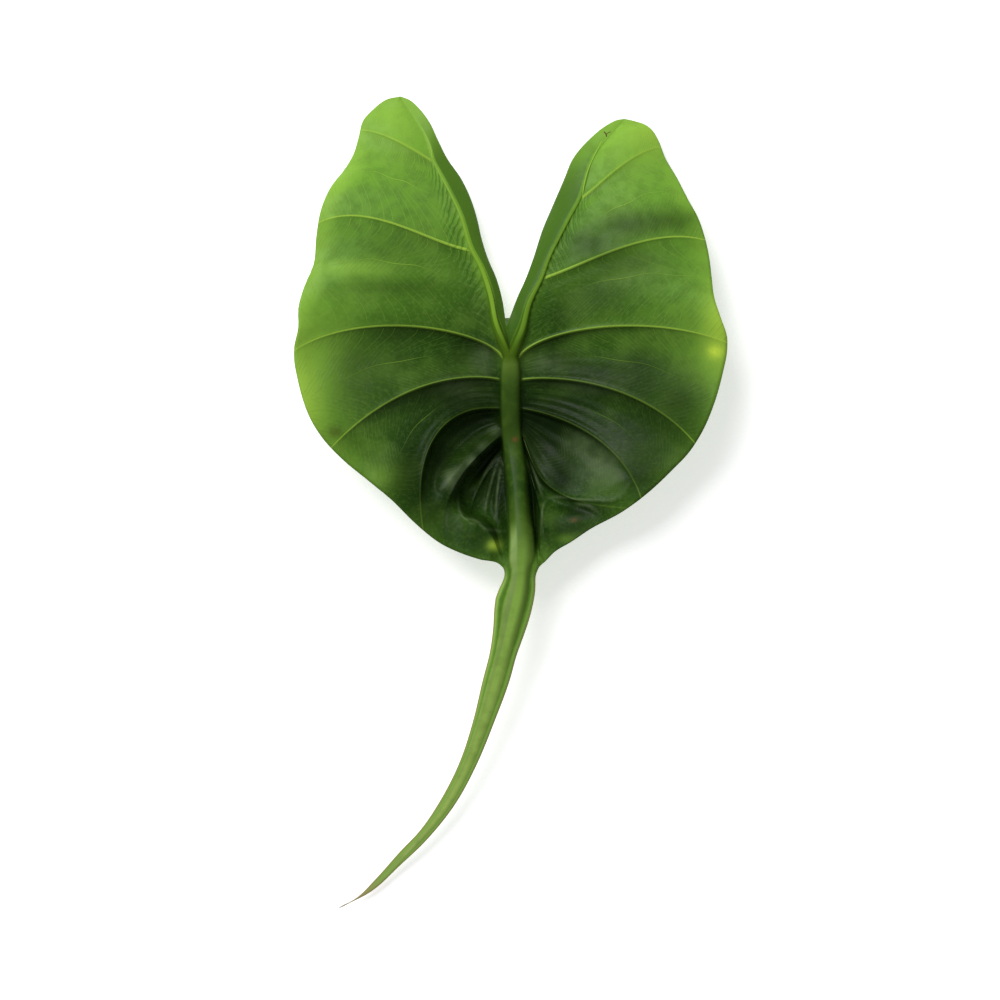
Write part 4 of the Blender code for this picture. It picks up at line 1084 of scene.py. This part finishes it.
centres = Path(STALK_PATH).at(np.linspace(0.0, 1.0, STALK_RINGS))
forward = np.gradient(centres, axis=0)
forward /= np.linalg.norm(forward, axis=1)[:, None]
turns = np.arange(STALK_SIDES) * 2 * np.pi / STALK_SIDES
sideways = np.array((1.0, 0.0, 0.0))
stub_points, stub_faces = [], []
for share, centre, ahead in zip(np.linspace(0, 1, STALK_RINGS), centres, forward):
    up = np.cross(sideways, ahead)
    up /= np.linalg.norm(up)
    fluted = 1.0 + FLUTE_DEPTH * np.cos(STALK_FLUTES * turns)
    radius = STALK_RADIUS * (1.0 - STALK_TAPER * (1.0 - share)) * fluted
    circle = np.outer(np.cos(turns), sideways) + np.outer(np.sin(turns), up)
    stub_points += list(centre + radius[:, None] * circle)
for ring in range(STALK_RINGS - 1):
    for at in range(STALK_SIDES):
        a = ring * STALK_SIDES + at
        b = ring * STALK_SIDES + (at + 1) % STALK_SIDES
        stub_faces.append((a, b, b + STALK_SIDES, a + STALK_SIDES))
last_ring = (STALK_RINGS - 1) * STALK_SIDES
stub_faces.append(tuple(range(STALK_SIDES))[::-1])
stub_faces.append(tuple(range(last_ring, last_ring + STALK_SIDES)))
stub_mesh = bpy.data.meshes.new("stalk_stub")
stub_mesh.from_pydata((np.array(stub_points) * MM).tolist(), [], stub_faces)
stub_mesh.shade_smooth()
stub_mesh.polygons[-1].use_smooth = stub_mesh.polygons[-2].use_smooth = False


def stalk_material(name, low, high, scale):
    material, tree, shader = new_material(name)
    place = node(tree, "ShaderNodeTexCoord").outputs["Object"]
    mottled = noise(tree, place, scale, 4.0)
    tree.links.new(mixed(tree, mottled, low, high), shader.inputs["Base Color"])
    shader.inputs["Roughness"].default_value = STALK_ROUGHNESS
    return material


stub_mesh.materials.append(stalk_material("stalk skin", (0.1, 0.17, 0.04), (0.2, 0.3, 0.08), 160.0))
stub_mesh.materials.append(stalk_material("stalk cut", (0.3, 0.38, 0.16), (0.5, 0.52, 0.3), 900.0))
stub_mesh.polygons[-1].material_index = 1
stub = put_in("stalk_stub", stub_mesh)
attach(stub, "root")
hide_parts("leaf")

# The surface the leaf lies on, plain and nearly white, so large that its edge isn't seen. A little
# light of its own keeps the leaf's shadow pale.
HALF_FLOOR, FLOOR_LEVEL = 3.0, -0.0001
FLOOR_FINISH = {
    "Base Color": (0.93, 0.93, 0.93, 1), "Roughness": 0.9,
    "Emission Color": (1, 1, 1, 1), "Emission Strength": 0.5,
}
turned = ((-1, -1), (1, -1), (1, 1), (-1, 1))
corners = [(x * HALF_FLOOR, y * HALF_FLOOR, FLOOR_LEVEL) for x, y in turned]
floor_mesh = bpy.data.meshes.new("floor")
floor_mesh.from_pydata(corners, [], [(0, 1, 2, 3)])
paper, _, shader = new_material("pale floor")
for name, value in FLOOR_FINISH.items():
    shader.inputs[name].default_value = value
floor_mesh.materials.append(paper)
floor = put_in("floor", floor_mesh)

# The light: one wide soft lamp above the lobes on the left, which gives the leaf its gloss and its
# shadow, and an even white sky all round that fills the rest.
LAMP_PLACE, LAMP_SIZE, LAMP_POWER = (-0.55, 0.85, 1.1), 0.9, 21.0
SKY_TONE, SKY_STRENGTH = (1.0, 1.0, 1.0, 1.0), 0.32
lamp = bpy.data.lights.new("soft lamp", "AREA")
lamp.size, lamp.energy = LAMP_SIZE, LAMP_POWER
lamp_object = put_in("soft lamp", lamp)
lamp_object.location = LAMP_PLACE
lamp_object.rotation_euler = Vector(LAMP_PLACE).to_track_quat("Z", "Y").to_euler()
sky = bpy.data.worlds.new("pale sky")
sky.use_nodes = True
background = sky.node_tree.nodes["Background"]
background.inputs[0].default_value, background.inputs[1].default_value = SKY_TONE, SKY_STRENGTH
bpy.context.scene.world = sky
bpy.context.scene.view_settings.view_transform = "Standard"

# The camera looks straight down on the leaf from 2.5 m, the tail towards the bottom, through a long
# lens that shows the outline nearly without perspective.
CAMERA_PLACE = (-0.0049, 0.0014, 2.5)
SEEN_WIDTH = 0.4673  # of the floor across the picture
SENSOR = 36.0
camera = bpy.data.cameras.new("camera")
camera.sensor_width = SENSOR
camera.lens = SENSOR * CAMERA_PLACE[2] / SEEN_WIDTH
camera_object = put_in("camera", camera)
camera_object.location = CAMERA_PLACE
bpy.context.scene.camera = camera_object
